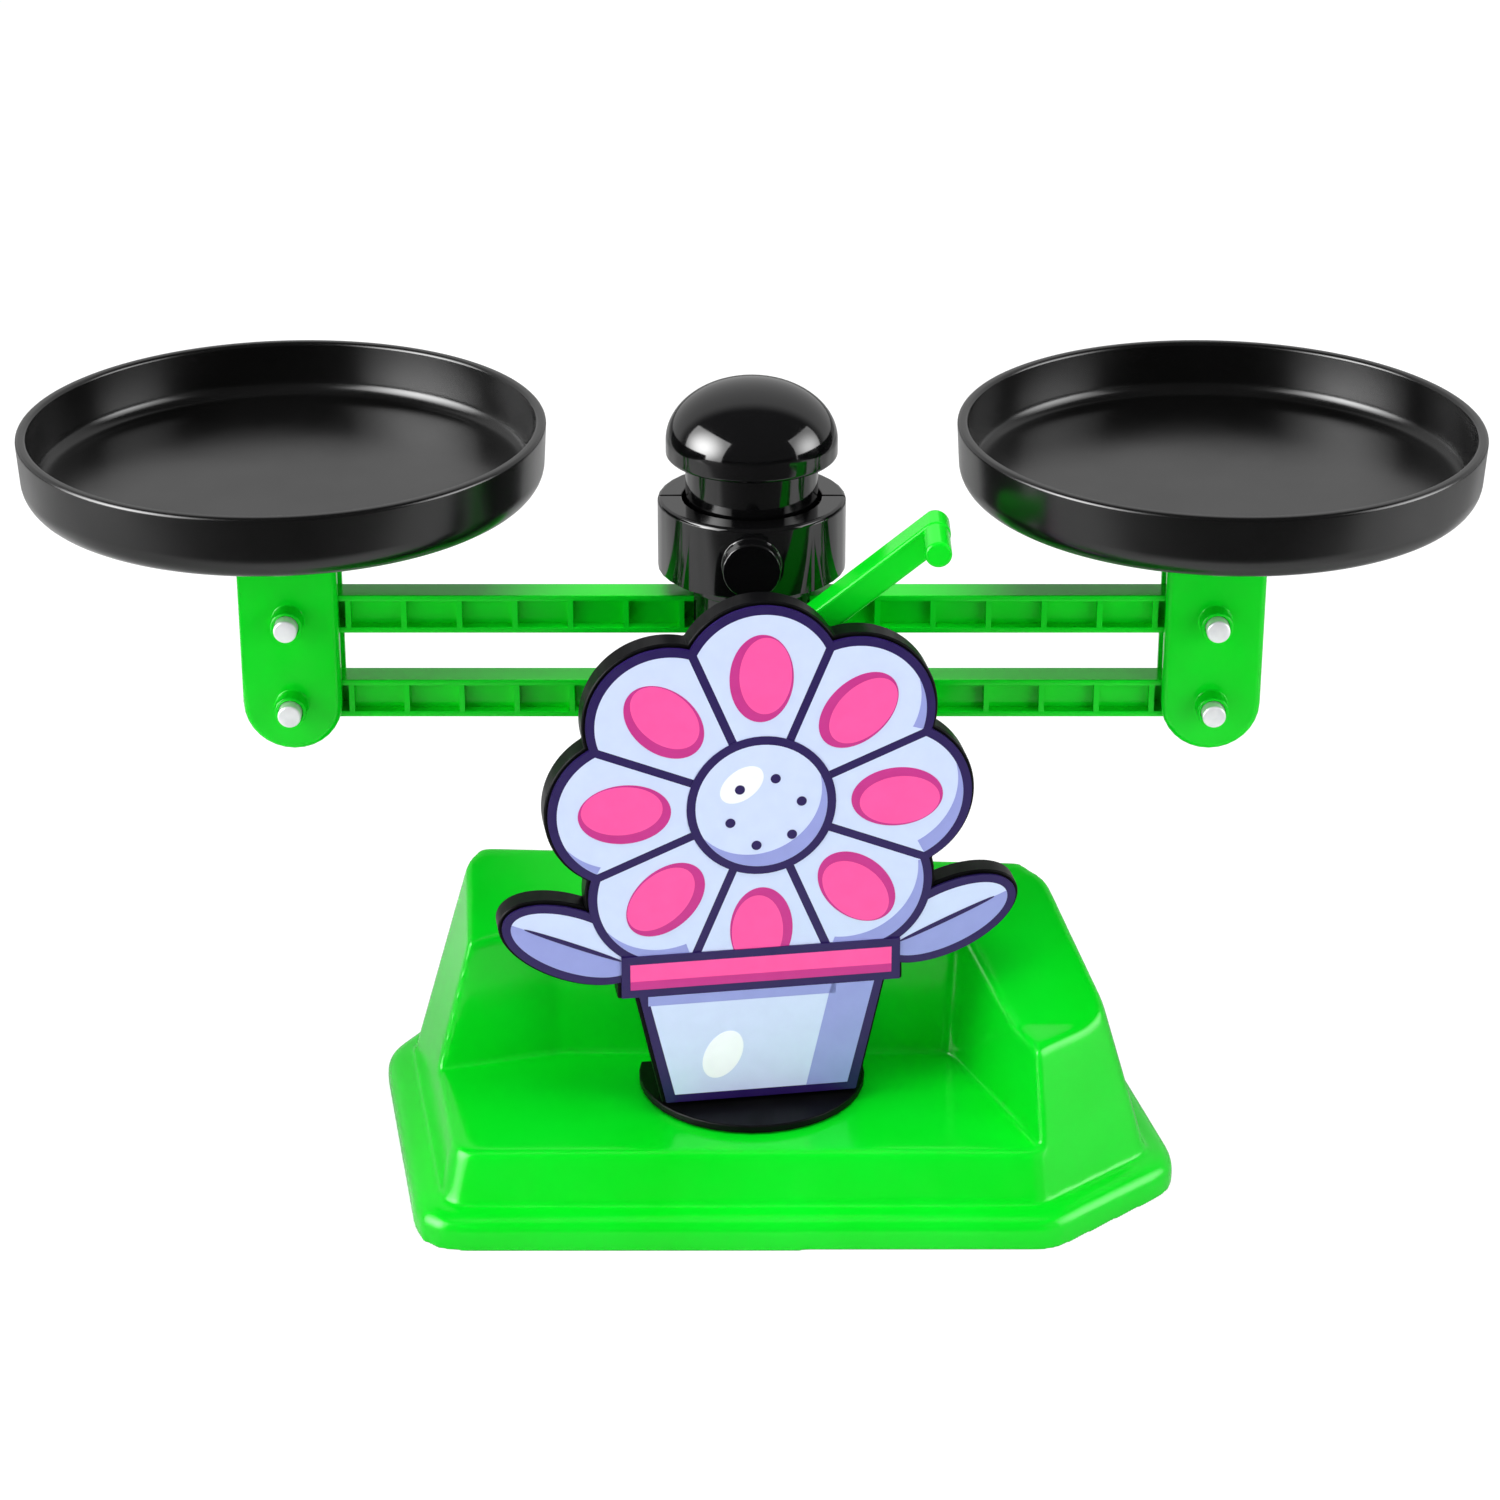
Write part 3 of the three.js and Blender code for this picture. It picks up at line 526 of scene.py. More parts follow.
def even_normals(made):
    weighted = made.modifiers.new("even_normals", "WEIGHTED_NORMAL")
    weighted.keep_sharp = True


def rounded(made, width, segments):
    """Rounds the sharp edges of a piece."""
    bevel = made.modifiers.new("edges", "BEVEL")
    bevel.width = width * MM
    bevel.segments = segments
    bevel.limit_method = "ANGLE"
    bevel.angle_limit = math.radians(ROUNDED_ANGLE)
    bevel.use_clamp_overlap = False
    even_normals(made)


def mesh_from(bm):
    """A mesh with its faces turned outwards, from a bmesh that goes."""
    mesh = bpy.data.meshes.new("work")
    bmesh.ops.recalc_face_normals(bm, faces=bm.faces)
    bm.to_mesh(mesh)
    bm.free()
    return mesh


def joined(bm, mesh):
    """Adds a working mesh to a bmesh; the mesh goes."""
    bm.from_mesh(mesh)
    bpy.data.meshes.remove(mesh)


def working(mesh):
    made = bpy.data.objects.new("work", mesh)
    bpy.context.scene.collection.objects.link(made)
    return made


def evaluated(work):
    """The mesh of a working object after its modifiers; the object goes."""
    bpy.context.view_layer.update()
    graph = bpy.context.evaluated_depsgraph_get()
    made = bpy.data.meshes.new_from_object(work.evaluated_get(graph))
    made.materials.clear()
    bpy.data.objects.remove(work)
    return made


def carved(mesh, others):
    """A mesh with others cut out of it."""
    work = working(mesh)
    tools = [working(other) for other in others]
    for tool in tools:
        step = work.modifiers.new("step", "BOOLEAN")
        step.operation = "DIFFERENCE"
        step.solver = "EXACT"
        step.object = tool
    made = evaluated(work)
    for tool in tools:
        bpy.data.objects.remove(tool)
    return made


def sharp_edges(bm):
    limit = math.radians(SHARP_ANGLE)
    return [
        edge for edge in bm.edges if len(edge.link_faces) == 2 and edge.calc_face_angle() > limit
    ]


def bevelled(bm, edges, width, segments):
    bmesh.ops.bevel(
        bm,
        geom=edges,
        offset=width * MM,
        offset_type="OFFSET",
        segments=segments,
        profile=0.5,
        affect="EDGES",
        clamp_overlap=False,
        loop_slide=True,
    )


def welded(node):
    """A CAD node's mesh with its flat faces whole."""
    bm = bmesh.new()
    bm.from_mesh(frame["nodes"][node].data)
    bmesh.ops.remove_doubles(bm, verts=bm.verts, dist=WELD_M)
    flat = math.radians(FLAT_ANGLE)
    bmesh.ops.dissolve_limit(bm, angle_limit=flat, verts=bm.verts, edges=bm.edges)
    return bm


def soften(node, width, segments, holes=()):
    """A CAD node with its sharp edges rounded, but not around holes along Y at (x, z)."""
    bm = welded(node)
    centres = [Vector(hole) * MM for hole in holes]

    def clear(edge):
        return all(
            (v.co.xz - centre).length > COLUMN_HOLE_CLEAR * MM
            for v in edge.verts
            for centre in centres
        )

    bevelled(bm, [edge for edge in sharp_edges(bm) if clear(edge)], width, segments)
    even_normals(shown(node, mesh_from(bm)))


def carrier(side):
    """Fork whose outer faces have wide rounds."""
    node = side + "_carrier"
    bm = welded(node)
    outer = [
        edge
        for edge in sharp_edges(bm)
        if edge.is_convex
        and all(abs(abs(v.co.y) - CARRIER_FACE_Y * MM) < CARRIER_NEAR * MM for v in edge.verts)
    ]
    bevelled(bm, outer, CARRIER_ROUND, CARRIER_SEGMENTS)
    bevelled(bm, sharp_edges(bm), CARRIER_INNER_ROUND, CARRIER_INNER_SEGMENTS)
    even_normals(shown(node, mesh_from(bm)))


def lathe(bm, profile, sides, matrix=Matrix.Identity(4), ring=False):
    """Adds a profile of (radius, height) points, turned about Z and then placed, to a bmesh.

    The profile of a ring is a closed loop clear of the axis.
    """
    rings = []
    for radius, height in profile:
        if radius < ON_AXIS:
            rings.append([bm.verts.new(matrix @ Vector((0, 0, height * MM)))])
            continue
        turn = []
        for i in range(sides):
            angle = 2 * math.pi * i / sides
            point = Vector((radius * math.cos(angle), radius * math.sin(angle), height)) * MM
            turn.append(bm.verts.new(matrix @ point))
        rings.append(turn)
    if ring:
        rings.append(rings[0])
    for low, high in zip(rings, rings[1:]):
        for i in range(sides):
            j = (i + 1) % sides
            corners = [
                low[i % len(low)],
                low[j % len(low)],
                high[j % len(high)],
                high[i % len(high)],
            ]
            bm.faces.new(list(dict.fromkeys(corners)))
    return bm


def arc(centre_r, centre_z, radius_r, radius_z, start, end, steps):
    points = []
    for i in range(steps + 1):
        angle = math.radians(start + (end - start) * i / steps)
        across, up = radius_r * math.cos(angle), radius_z * math.sin(angle)
        points.append((centre_r + across, centre_z + up))
    return points


def bend(centre_r, centre_z, radius, start, end, steps=ROUND_STEPS):
    return arc(centre_r, centre_z, radius, radius, start, end, steps)


def moved(x, y, z):
    return Matrix.Translation(Vector((x, y, z)) * MM)


def along(direction, point):
    """Turns +Z to a direction and moves the origin to a point."""
    turn = Vector((0, 0, 1)).rotation_difference(Vector(direction)).to_matrix().to_4x4()
    return moved(*point) @ turn


def pan(side, x):
    rim_z = PAN_Z + PAN_H - RIM_ROUND
    floor_z = PAN_Z + PAN_FLOOR
    inner = PAN_R - PAN_WALL
    outer_foot = PAN_R - PAN_DRAFT - PAN_FILLET
    inner_foot = inner - PAN_DRAFT - PAN_INNER_FILLET
    inner_fillet_z = floor_z + PAN_INNER_FILLET
    profile = [
        (0, PAN_Z),
        (PAN_R * PAN_RING, PAN_Z),
        *bend(outer_foot, PAN_Z + PAN_FILLET, PAN_FILLET, 270, 360, PAN_FILLET_STEPS),
        *bend(PAN_R - RIM_ROUND, rim_z, RIM_ROUND, 0, 90),
        *bend(inner + RIM_ROUND, rim_z, RIM_ROUND, 90, 180),
        *bend(inner_foot, inner_fillet_z, PAN_INNER_FILLET, 360, 270, PAN_INNER_STEPS),
        (PAN_R * PAN_RING, floor_z),
        (0, floor_z),
    ]
    bm = lathe(bmesh.new(), profile, PAN_SIDES, moved(x, 0, 0))
    low, high = PAN_Z - PAN_PEG_L, PAN_Z + PAN_FLOOR / 2
    peg = [(PAN_PEG_BORE_R, low), (PAN_PEG_R, low), (PAN_PEG_R, high), (PAN_PEG_BORE_R, high)]
    for offset in (-PAN_PEG_X, PAN_PEG_X):
        lathe(bm, peg, SMALL_SIDES, moved(x + offset, 0, 0), ring=True)
    even_normals(shown(side + "_pan", mesh_from(bm)))


def knob():
    fillet_z = BRIM_Z - NECK_FILLET
    profile = [
        *KNOB_STEM,
        (NECK_R - NECK_CHAMFER, NECK_Z),
        (NECK_R, NECK_Z + NECK_CHAMFER),
        (NECK_R, fillet_z),
        *bend(NECK_R + NECK_FILLET, fillet_z, NECK_FILLET, 180, 90, NECK_STEPS),
        *bend(BRIM_R - BRIM_ROUND, BRIM_Z + BRIM_ROUND, BRIM_ROUND, 270, 360),
        *arc(0, BRIM_Z + BRIM_H, BRIM_R, DOME_H, 0, 90, DOME_STEPS),
    ]
    even_normals(shown("top_knob", mesh_from(lathe(bmesh.new(), profile, KNOB_SIDES))))


def pin(node, x, z):
    shaft = PIN_R - PIN_ROUND
    end = PIN_HALF - PIN_ROUND
    profile = [
        (0, -PIN_HALF),
        *bend(shaft, -end, PIN_ROUND, 270, 360, PIN_STEPS),
        *bend(shaft, end, PIN_ROUND, 0, 90, PIN_STEPS),
        (0, PIN_HALF),
    ]
    bm = lathe(bmesh.new(), profile, SIDES, along((0, -1, 0), (x, 0, z)))
    even_normals(shown(node, mesh_from(bm)))


def box(low, high, place):
    bm = bmesh.new()
    corners = [
        bm.verts.new(place @ (Vector((x, y, z)) * MM))
        for x in (low[0], high[0])
        for y in (low[1], high[1])
        for z in (low[2], high[2])
    ]
    faces = ((0, 1, 3, 2), (4, 6, 7, 5), (0, 4, 5, 1), (2, 3, 7, 6), (0, 2, 6, 4), (1, 5, 7, 3))
    for face in faces:
        bm.faces.new([corners[i] for i in face])
    return bm


def prism(bm, points, front, back, place, ink_index=0):
    """Adds an outline in X and Z, made thick along Y from front to back and then placed."""
    rings = [
        [bm.verts.new(place @ (Vector((x, y, z)) * MM)) for x, z in points] for y in (front, back)
    ]
    faces = [bm.faces.new(rings[0]), bm.faces.new(rings[1][::-1])]
    count = len(points)
    for i in range(count):
        j = (i + 1) % count
        faces.append(bm.faces.new([rings[0][j], rings[0][i], rings[1][i], rings[1][j]]))
    for face in faces:
        face.material_index = ink_index
    return bm


def circle(x, z, radius, start=0, end=360, steps=64):
    """Points of a circle in X and Z, or of a part of it with both its ends."""
    count = steps if end - start == 360 else steps + 1
    return arc(x, z, radius, radius, start, end, steps)[:count]


def relaxed(mesh, free):
    """Rounds the outward edges of a fine mesh and leaves the inward ones crisp.

    Each point goes as far as it is free, and points of the foot keep their height.
    """
    count = len(mesh.vertices)
    points = np.empty(count * 3)
    mesh.vertices.foreach_get("co", points)
    points = points.reshape(-1, 3)
    foot = points[:, 2] < BASE_FOOT * MM
    free = np.where(foot, BASE_FOOT_SHARE, 1) * free
    normals = np.empty(count * 3, dtype=np.float32)
    mesh.vertex_normals.foreach_get("vector", normals)
    normals = normals.reshape(-1, 3)
    pairs = np.empty(len(mesh.edges) * 2, dtype=np.int32)
    mesh.edges.foreach_get("vertices", pairs)
    starts, ends = pairs.reshape(-1, 2).T
    here, there = np.concatenate([starts, ends]), np.concatenate([ends, starts])
    valence = np.bincount(here, minlength=count)
    for _ in range(BASE_TURNS):
        sums = [
            np.bincount(here, weights=points[there, axis], minlength=count) for axis in range(3)
        ]
        step = np.stack(sums, axis=1) / valence[:, None] - points
        step[foot, 2] = 0
        outward = (step * normals).sum(axis=1) < 0
        share = np.where(outward, BASE_PULL, BASE_PULL * BASE_CREASE) * free
        points += step * share[:, None]
    mesh.vertices.foreach_set("co", points.ravel())
    mesh.update()


def turned_point(x, y):
    """A point of the plaque's frame in X and Y, as a point of the balance."""
    cos, sin = math.cos(math.radians(PLAQUE_TURN)), math.sin(math.radians(PLAQUE_TURN))
    return x * cos - y * sin, PLAQUE_Y + x * sin + y * cos


def base():
    """Base with a mould's soft edges: a fine remesh, relaxed clear of its screw seats."""
    work = working(frame["nodes"]["base_shell"].data.copy())
    fine = work.modifiers.new("fine", "REMESH")
    fine.mode = "VOXEL"
    fine.voxel_size = BASE_VOXEL * MM
    mesh = evaluated(work)
    seats = [(0, -BASE_SCREW_Y), (0, BASE_SCREW_Y)]
    seats += [turned_point(x, STAND_SCREW_Y) for x in (-STAND_SCREW_X, STAND_SCREW_X)]
    seats = [Vector(seat) * MM for seat in seats]
    clear = SEAT_CLEAR * MM
    free = [min((v.co.xy - seat).length for seat in seats) > clear for v in mesh.vertices]
    relaxed(mesh, np.array(free))
    made = shown("base_shell", mesh, BASE_SMOOTH_ANGLE)
    fewer = made.modifiers.new("fewer", "DECIMATE")
    fewer.ratio = BASE_KEPT
    even_normals(made)


def rod(x, z, radius, y):
    """A closed cylinder along Y, from -y to y."""
    profile = [(0, -y), (radius, -y), (radius, y), (0, y)]
    return mesh_from(lathe(bmesh.new(), profile, SIDES, along((0, -1, 0), (x, 0, z))))


def soft_box(bm, low, high, place, width):
    """Adds a box with rounded edges to a bmesh."""
    part = box(low, high, place)
    bevelled(part, part.edges[:], width, BEAM_SEGMENTS)
    joined(bm, mesh_from(part))


def beam(level, z):
    """I section with upright ribs, deep bays beside the pillar and the carriers, and three pivots.

    Its blocks run into each other, and stand back by a hair where they would share a face.
    """
    place = moved(0, 0, z)
    half = BEAM_W / 2
    top = BEAM_H / 2
    web_top = top - BEAM_FLANGE
    bm = bmesh.new()
    for low, high in ((-top, -web_top), (web_top, top)):
        soft_box(bm, (-ARM, -half, low), (ARM, half, high), place, BEAM_ROUND)
    pitch = (LAST_RIB - FIRST_RIB) / (RIBS - 1)
    walls = [(FIRST_RIB, LAST_RIB, -BEAM_WEB / 2, BEAM_WEB / 2)]
    for i in range(RIBS):
        x = FIRST_RIB + i * pitch
        walls.append((x - BEAM_RIB / 2, x + BEAM_RIB / 2, HAIR - half, half - HAIR))
    for start, end in ((BEAM_HUB_X, FIRST_RIB), (LAST_RIB, ARM - BEAM_HUB_X)):
        walls.append((start, end, half - BEAM_SKIN, half - 2 * HAIR))
    wall_top = web_top + BEAM_ROUND
    for side in (-1, 1):
        for start, end, front, back in walls:
            near, far = sorted((side * start, side * end))
            soft_box(bm, (near, front, -wall_top), (far, back, wall_top), place, HAIR)
    block_top = top - HAIR
    middle = rectangle(-BEAM_HUB_X, BEAM_HUB_X, -block_top, block_top)
    right = [(ARM - BEAM_HUB_X, block_top), (ARM - BEAM_HUB_X, -block_top)]
    right += circle(ARM, 0, block_top, -90, 90, BEAM_END_STEPS)
    left = [(-across, up) for across, up in reversed(right)]
    rim = [
        (BEAM_HOLE_R, -BEAM_BOSS_Y),
        (BEAM_BOSS_R, -BEAM_BOSS_Y),
        (BEAM_BOSS_R, BEAM_BOSS_Y),
        (BEAM_HOLE_R, BEAM_BOSS_Y),
    ]
    for x, outline in ((-ARM, left), (0, middle), (ARM, right)):
        block = mesh_from(prism(bmesh.new(), outline, HAIR - half, half - HAIR, place))
        joined(bm, carved(block, [rod(x, z, BEAM_HOLE_R, BEAM_W)]))
        lathe(bm, rim, SIDES, along((0, -1, 0), (x, 0, z)), ring=True)
    even_normals(shown(level + "_beam", mesh_from(bm)))


def lever():
    """Lock lever: a bored hub, a bar that leaves the hub's top and a round peg at its end."""
    place = moved(0, 0, LOCK_Z) @ Matrix.Rotation(math.radians(-LEVER_ANGLE), 4, "Y")
    edge = LEVER_ROUND
    rim = LEVER_HUB_R - edge
    hub = [
        *bend(rim, edge - LEVER_BACK, edge, 270, 360),
        *bend(rim, -LEVER_FRONT - edge, edge, 0, 90),
        (LEVER_BORE_R, -LEVER_FRONT),
        (LEVER_BORE_R, -LEVER_BACK),
    ]
    bm = lathe(bmesh.new(), hub, HUB_SIDES, place @ along((0, -1, 0), (0, 0, 0)), ring=True)
    middle = LEVER_HUB_R - LEVER_H / 2
    low = LEVER_HUB_R - LEVER_H
    bar = [(0, LEVER_HUB_R), (0, middle), (LEVER_H * LEVER_THROAT, low)]
    bar += circle(LEVER_L, middle, LEVER_H / 2, -90, 90, LEVER_END_STEPS)
    prism(bm, bar, LEVER_FRONT + HAIR, LEVER_BACK - HAIR, place)
    peg = [
        (0, -LEVER_BACK - edge),
        (PEG_R, -LEVER_BACK - edge),
        *bend(PEG_R - edge, -PEG_FRONT - edge, edge, 0, 90),
        (0, -PEG_FRONT),
    ]
    lathe(bm, peg, SIDES, place @ along((0, -1, 0), (LEVER_L, 0, middle)))
    rounded(shown("lock_lever", mesh_from(bm)), LEVER_ROUND, LEVER_SEGMENTS)


def screw(node, point, direction, shank, head_r=HEAD_R):
    """Cross-head screw: its head seats at the point, and its shank runs along the direction."""
    place = along(direction, point)
    profile = [
        *arc(0, -HEAD_RIM, head_r, HEAD_H - HEAD_RIM, 270, 360, HEAD_STEPS),
        (head_r, -HEAD_EDGE),
        (head_r - HEAD_EDGE, 0),
        (SCREW_R, 0),
        (SCREW_R, shank - SCREW_R),
        (0, shank),
    ]
    body = mesh_from(lathe(bmesh.new(), profile, SMALL_SIDES, place))
    reach = head_r * CROSS_SHARE
    top = -HEAD_H - CROSS_OVER
    foot = CROSS_DEPTH - HEAD_H
    half = CROSS_W / 2
    bars = [
        mesh_from(box((-x, -y, top), (x, y, foot), place))
        for x, y in ((reach, half), (half, reach))
    ]
    even_normals(shown(node, carved(body, bars)))


def screws():
    for i, (x, z, seat, shank) in enumerate(COLUMN_SCREWS, 1):
        screw(f"column_screw_{i}", (x, seat, z), (0, -1, 0), shank)
    for name, y in (("front", -BASE_SCREW_Y), ("rear", BASE_SCREW_Y)):
        screw(f"base_screw_{name}", (0, y, HEAD_H), (0, 0, 1), BASE_SHANK)
    for side, x in (("left", -ARM), ("right", ARM)):
        for i, offset in enumerate((-PAN_PEG_X, PAN_PEG_X), 1):
            seat = (x + offset, 0, PAN_SEAT_Z)
            screw(f"{side}_pan_screw_{i}", seat, (0, 0, 1), PAN_SHANK, PAN_HEAD_R)
    screw("lock_screw", (0, LOCK_SEAT_Y, LOCK_Z), (0, 1, 0), LOCK_SHANK, LOCK_HEAD_R)
    to_front = Matrix.Rotation(math.radians(PLAQUE_TURN), 3, "Z") @ Vector((0, -1, 0))
    for i, height in enumerate(PLAQUE_SEATS_UP, 1):
        seat = (*turned_point(0, PLAQUE_SEAT_Y), PLAQUE_Z + height)
        screw(f"plaque_screw_{i}", seat, to_front, PLAQUE_SHANK)
    for i, offset in enumerate((-STAND_SCREW_X, STAND_SCREW_X), 1):
        seat = (*turned_point(offset, STAND_SCREW_Y), STAND_SEAT_Z)
        screw(f"stand_screw_{i}", seat, (0, 0, 1), STAND_SHANK)


# Plaque

PLAQUE_FRAME = (
    moved(0, PLAQUE_Y, PLAQUE_Z)
    @ Matrix.Rotation(math.radians(PLAQUE_TURN), 4, "Z")
    @ moved(0, 0, BOARD_FOOT)
)


def rectangle(left, right, low, high):
    return [(left, low), (right, low), (right, high), (left, high)]


def ellipse(x, z, length, width, turn, start=0, end=360, steps=72):
    cos, sin = math.cos(math.radians(turn)), math.sin(math.radians(turn))
    return [
        (x + length * u * cos - width * v * sin, z + length * u * sin + width * v * cos)
        for u, v in circle(0, 0, 1, start, end, steps)
    ]


def flower_outline(inset):
    radius = PETAL_R - inset
    steps = PETALS * PETAL_STEPS
    pitch = 2 * math.pi / PETALS
    points = []
    for i in range(steps):
        angle = 2 * math.pi * i / steps
        off = angle - round(angle / pitch) * pitch
        across = PETAL_REACH * math.sin(off)
        reach = PETAL_REACH * math.cos(off) + math.sqrt(radius**2 - across**2)
        points.append((reach * math.cos(angle), FLOWER_Z + reach * math.sin(angle)))
    return points


def pot_outline(inset):
    rim = POT_RIM_W / 2 - inset
    top = POT_TOP_W / 2 - inset
    foot = POT_FOOT_W / 2 - inset
    rim_z = POT_H - POT_RIM_H + inset
    right = [(foot, inset), (top, rim_z), (rim, rim_z), (rim, POT_H - inset)]
    return right + [(-x, z) for x, z in reversed(right)]


def leaf_outline(side, inset):
    length, width = LEAF_L / 2 - inset, LEAF_W / 2 - inset
    return ellipse(side * LEAF_X, LEAF_Z, length, width, side * LEAF_TURN)


def outlines(inset):
    """The shapes that make the cut-out, drawn in all around."""
    leaves = [leaf_outline(side, inset) for side in (-1, 1)]
    return [flower_outline(inset), pot_outline(inset), *leaves]


def board():
    """Cut-out board of shapes that run into each other, each a hair thinner than the one before."""
    bm = bmesh.new()
    for i, points in enumerate(outlines(0)):
        inset = i * BOARD_STEP
        front, back = BOARD_FRONT + inset, BOARD_BACK - inset
        joined(bm, mesh_from(prism(bmesh.new(), points, front, back, PLAQUE_FRAME)))
    rounded(shown("plaque_board", mesh_from(bm)), BOARD_ROUND, BOARD_SEGMENTS)


def petal_points(polar, points):
    """Points along and across a petal's axis, as points of the plaque."""
    cos, sin = math.cos(polar), math.sin(polar)
    return [(u * cos - v * sin, FLOWER_Z + u * sin + v * cos) for u, v in points]


def petal_fill():
    """One petal between its strokes, along and across its axis, its rim's radius and half angle."""
    half = math.pi / PETALS
    radius = PETAL_R - INKED
    slope = math.tan(half)
    drop = STROKE / 2 / math.cos(half)
    a = 1 + slope**2
    b = -2 * (PETAL_REACH + slope * drop)
    c = PETAL_REACH**2 + drop**2 - radius**2
    far = (-b + math.sqrt(b * b - 4 * a * c)) / (2 * a)
    near = EYE_R / 2
    lean = math.degrees(math.atan2(far * slope - drop, far - PETAL_REACH))
    rim = circle(PETAL_REACH, 0, radius, -lean, lean, PETAL_RIM_STEPS)
    across = near * slope - drop
    return [(near, -across), *rim, (near, across)], radius, lean


def crescent(x, z, radius, start, end, heading, depth):
    """A shade along part of a circle's rim that is thickest at a heading."""
    outer = circle(x, z, radius, start, end, SHADE_STEPS)
    inner = []
    for i in range(SHADE_STEPS + 1):
        angle = start + (end - start) * i / SHADE_STEPS
        bite = depth * max(SHADE_END, math.cos(math.radians(angle - heading)))
        turn = math.radians(angle)
        inner.append((x + (radius - bite) * math.cos(turn), z + (radius - bite) * math.sin(turn)))
    return outer + inner[::-1]


def leaves_art(layer):
    length, width = LEAF_L / 2 - INKED, LEAF_W / 2 - INKED
    for side in (-1, 1):
        x, turn = side * LEAF_X, side * LEAF_TURN
        layer(1, "pale", leaf_outline(side, INKED))
        layer(2, "shade", ellipse(x, LEAF_Z, length, width, turn, 180, 360, LEAF_STEPS))
        layer(3, "navy", ellipse(x, LEAF_Z, length * VEIN_SHARE, VEIN_HALF, turn))


def petals_art(layer):
    layer(4, "navy", flower_outline(PRINT_INSET))
    fill, radius, lean = petal_fill()
    for i in range(PETALS):
        polar = 2 * math.pi * i / PETALS
        degrees = math.degrees(polar)
        layer(5, "pale", petal_points(polar, fill))
        headings = [SHADE_HEADING + 360 * turns for turns in range(3)]
        nearest = min(headings, key=lambda heading: abs(heading - degrees))
        low = max(degrees - lean, nearest - SHADE_REACH)
        high = min(degrees + lean, nearest + SHADE_REACH)
        if high - low > SHADE_LEAST:
            x = PETAL_REACH * math.cos(polar)
            z = FLOWER_Z + PETAL_REACH * math.sin(polar)
            layer(6, "shade", crescent(x, z, radius, low, high, nearest, PETAL_SHADE))
        layer(7, "magenta", petal_points(polar, ellipse(*PETAL_SPOT, 0)))
        layer(8, "pink", petal_points(polar, ellipse(*PETAL_SPOT_LIT, 0)))


def eye_art(layer):
    inner = EYE_R - STROKE
    layer(9, "navy", circle(0, FLOWER_Z, EYE_R))
    layer(10, "pale", circle(0, FLOWER_Z, inner))
    span = (EYE_SHADE_START, EYE_SHADE_END)
    layer(11, "shade", crescent(0, FLOWER_Z, inner, *span, SHADE_HEADING, EYE_SHADE))
    layer(11, "white", ellipse(*EYE_GLINT))
    for i in range(SEEDS):
        turn = math.radians(360 / SEEDS * i + SEED_TURN)
        x = SEED_RING * math.cos(turn) + SEED_X
        z = FLOWER_Z + SEED_RING * math.sin(turn) + SEED_Z
        layer(12, "navy", circle(x, z, SEED_R, steps=SEED_STEPS))


def pot_art(layer):
    layer(13, "navy", pot_outline(PRINT_INSET))
    rim = POT_RIM_W / 2 - INKED
    top = POT_TOP_W / 2 - INKED
    foot = POT_FOOT_W / 2 - INKED
    rim_low, rim_high = POT_H - POT_RIM_H + INKED, POT_H - INKED
    body_top = rim_low - STROKE
    layer(14, "pink", rectangle(-rim, rim, rim_low, rim_high))
    layer(15, "magenta", rectangle(-rim, rim, rim_low, rim_low + RIM_SHADE_H))
    layer(14, "pale", [(-foot, INKED), (foot, INKED), (top, body_top), (-top, body_top)])
    near_foot, near_top = foot * SIDE_SHADE_FOOT, top * SIDE_SHADE_TOP
    layer(15, "shade", [(near_foot, INKED), (foot, INKED), (top, body_top), (near_top, body_top)])
    shade_z = body_top - BODY_SHADE_H
    layer(15, "shade", rectangle(-top, top * BODY_SHADE_END, shade_z, body_top))
    layer(16, "white", ellipse(*POT_GLINT))


def print_art():
    """The print: flat shapes of ink on the outlines, a higher layer over a lower one."""
    bm = bmesh.new()

    def layer(level, colour, points):
        front = PRINT_FRONT - level * LAYER
        prism(bm, points, front, PRINT_FRONT, PLAQUE_FRAME, INK_ORDER.index(colour))

    for outline in outlines(PRINT_INSET):
        prism(bm, outline, PRINT_FRONT, PRINT_BACK, PLAQUE_FRAME, INK_ORDER.index("navy"))
    for art in (leaves_art, petals_art, eye_art, pot_art):
        art(layer)
    mesh = mesh_from(bm)
    mesh.name = "plaque_print_visual"
    piece("plaque_print_visual", mesh, ["plaque_print"], [INKS[name] for name in INK_ORDER])


base()
for half in ("front", "rear"):
    holes = [(x, z) for x, z, _, _ in COLUMN_SCREWS]
    soften(f"column_{half}", COLUMN_ROUND, COLUMN_SEGMENTS, holes)
knob()
beam("upper", UPPER_Z)
beam("lower", LOWER_Z)
for side, x in (("left", -ARM), ("right", ARM)):
    carrier(side)
    pan(side, x)
    pin(f"{side}_upper_pin", x, UPPER_Z)
    pin(f"{side}_lower_pin", x, LOWER_Z)
lever()
soften("plaque_stand", STAND_ROUND, STAND_SEGMENTS)
board()
print_art()
screws()

# The CAD nodes that still show take the same finishes
for name, node in frame["nodes"].items():
    if not node.hide_render:
        node.data.materials.clear()
        node.data.materials.append(LOOKS[SLOT_OF[name]])


# Stage, light and camera


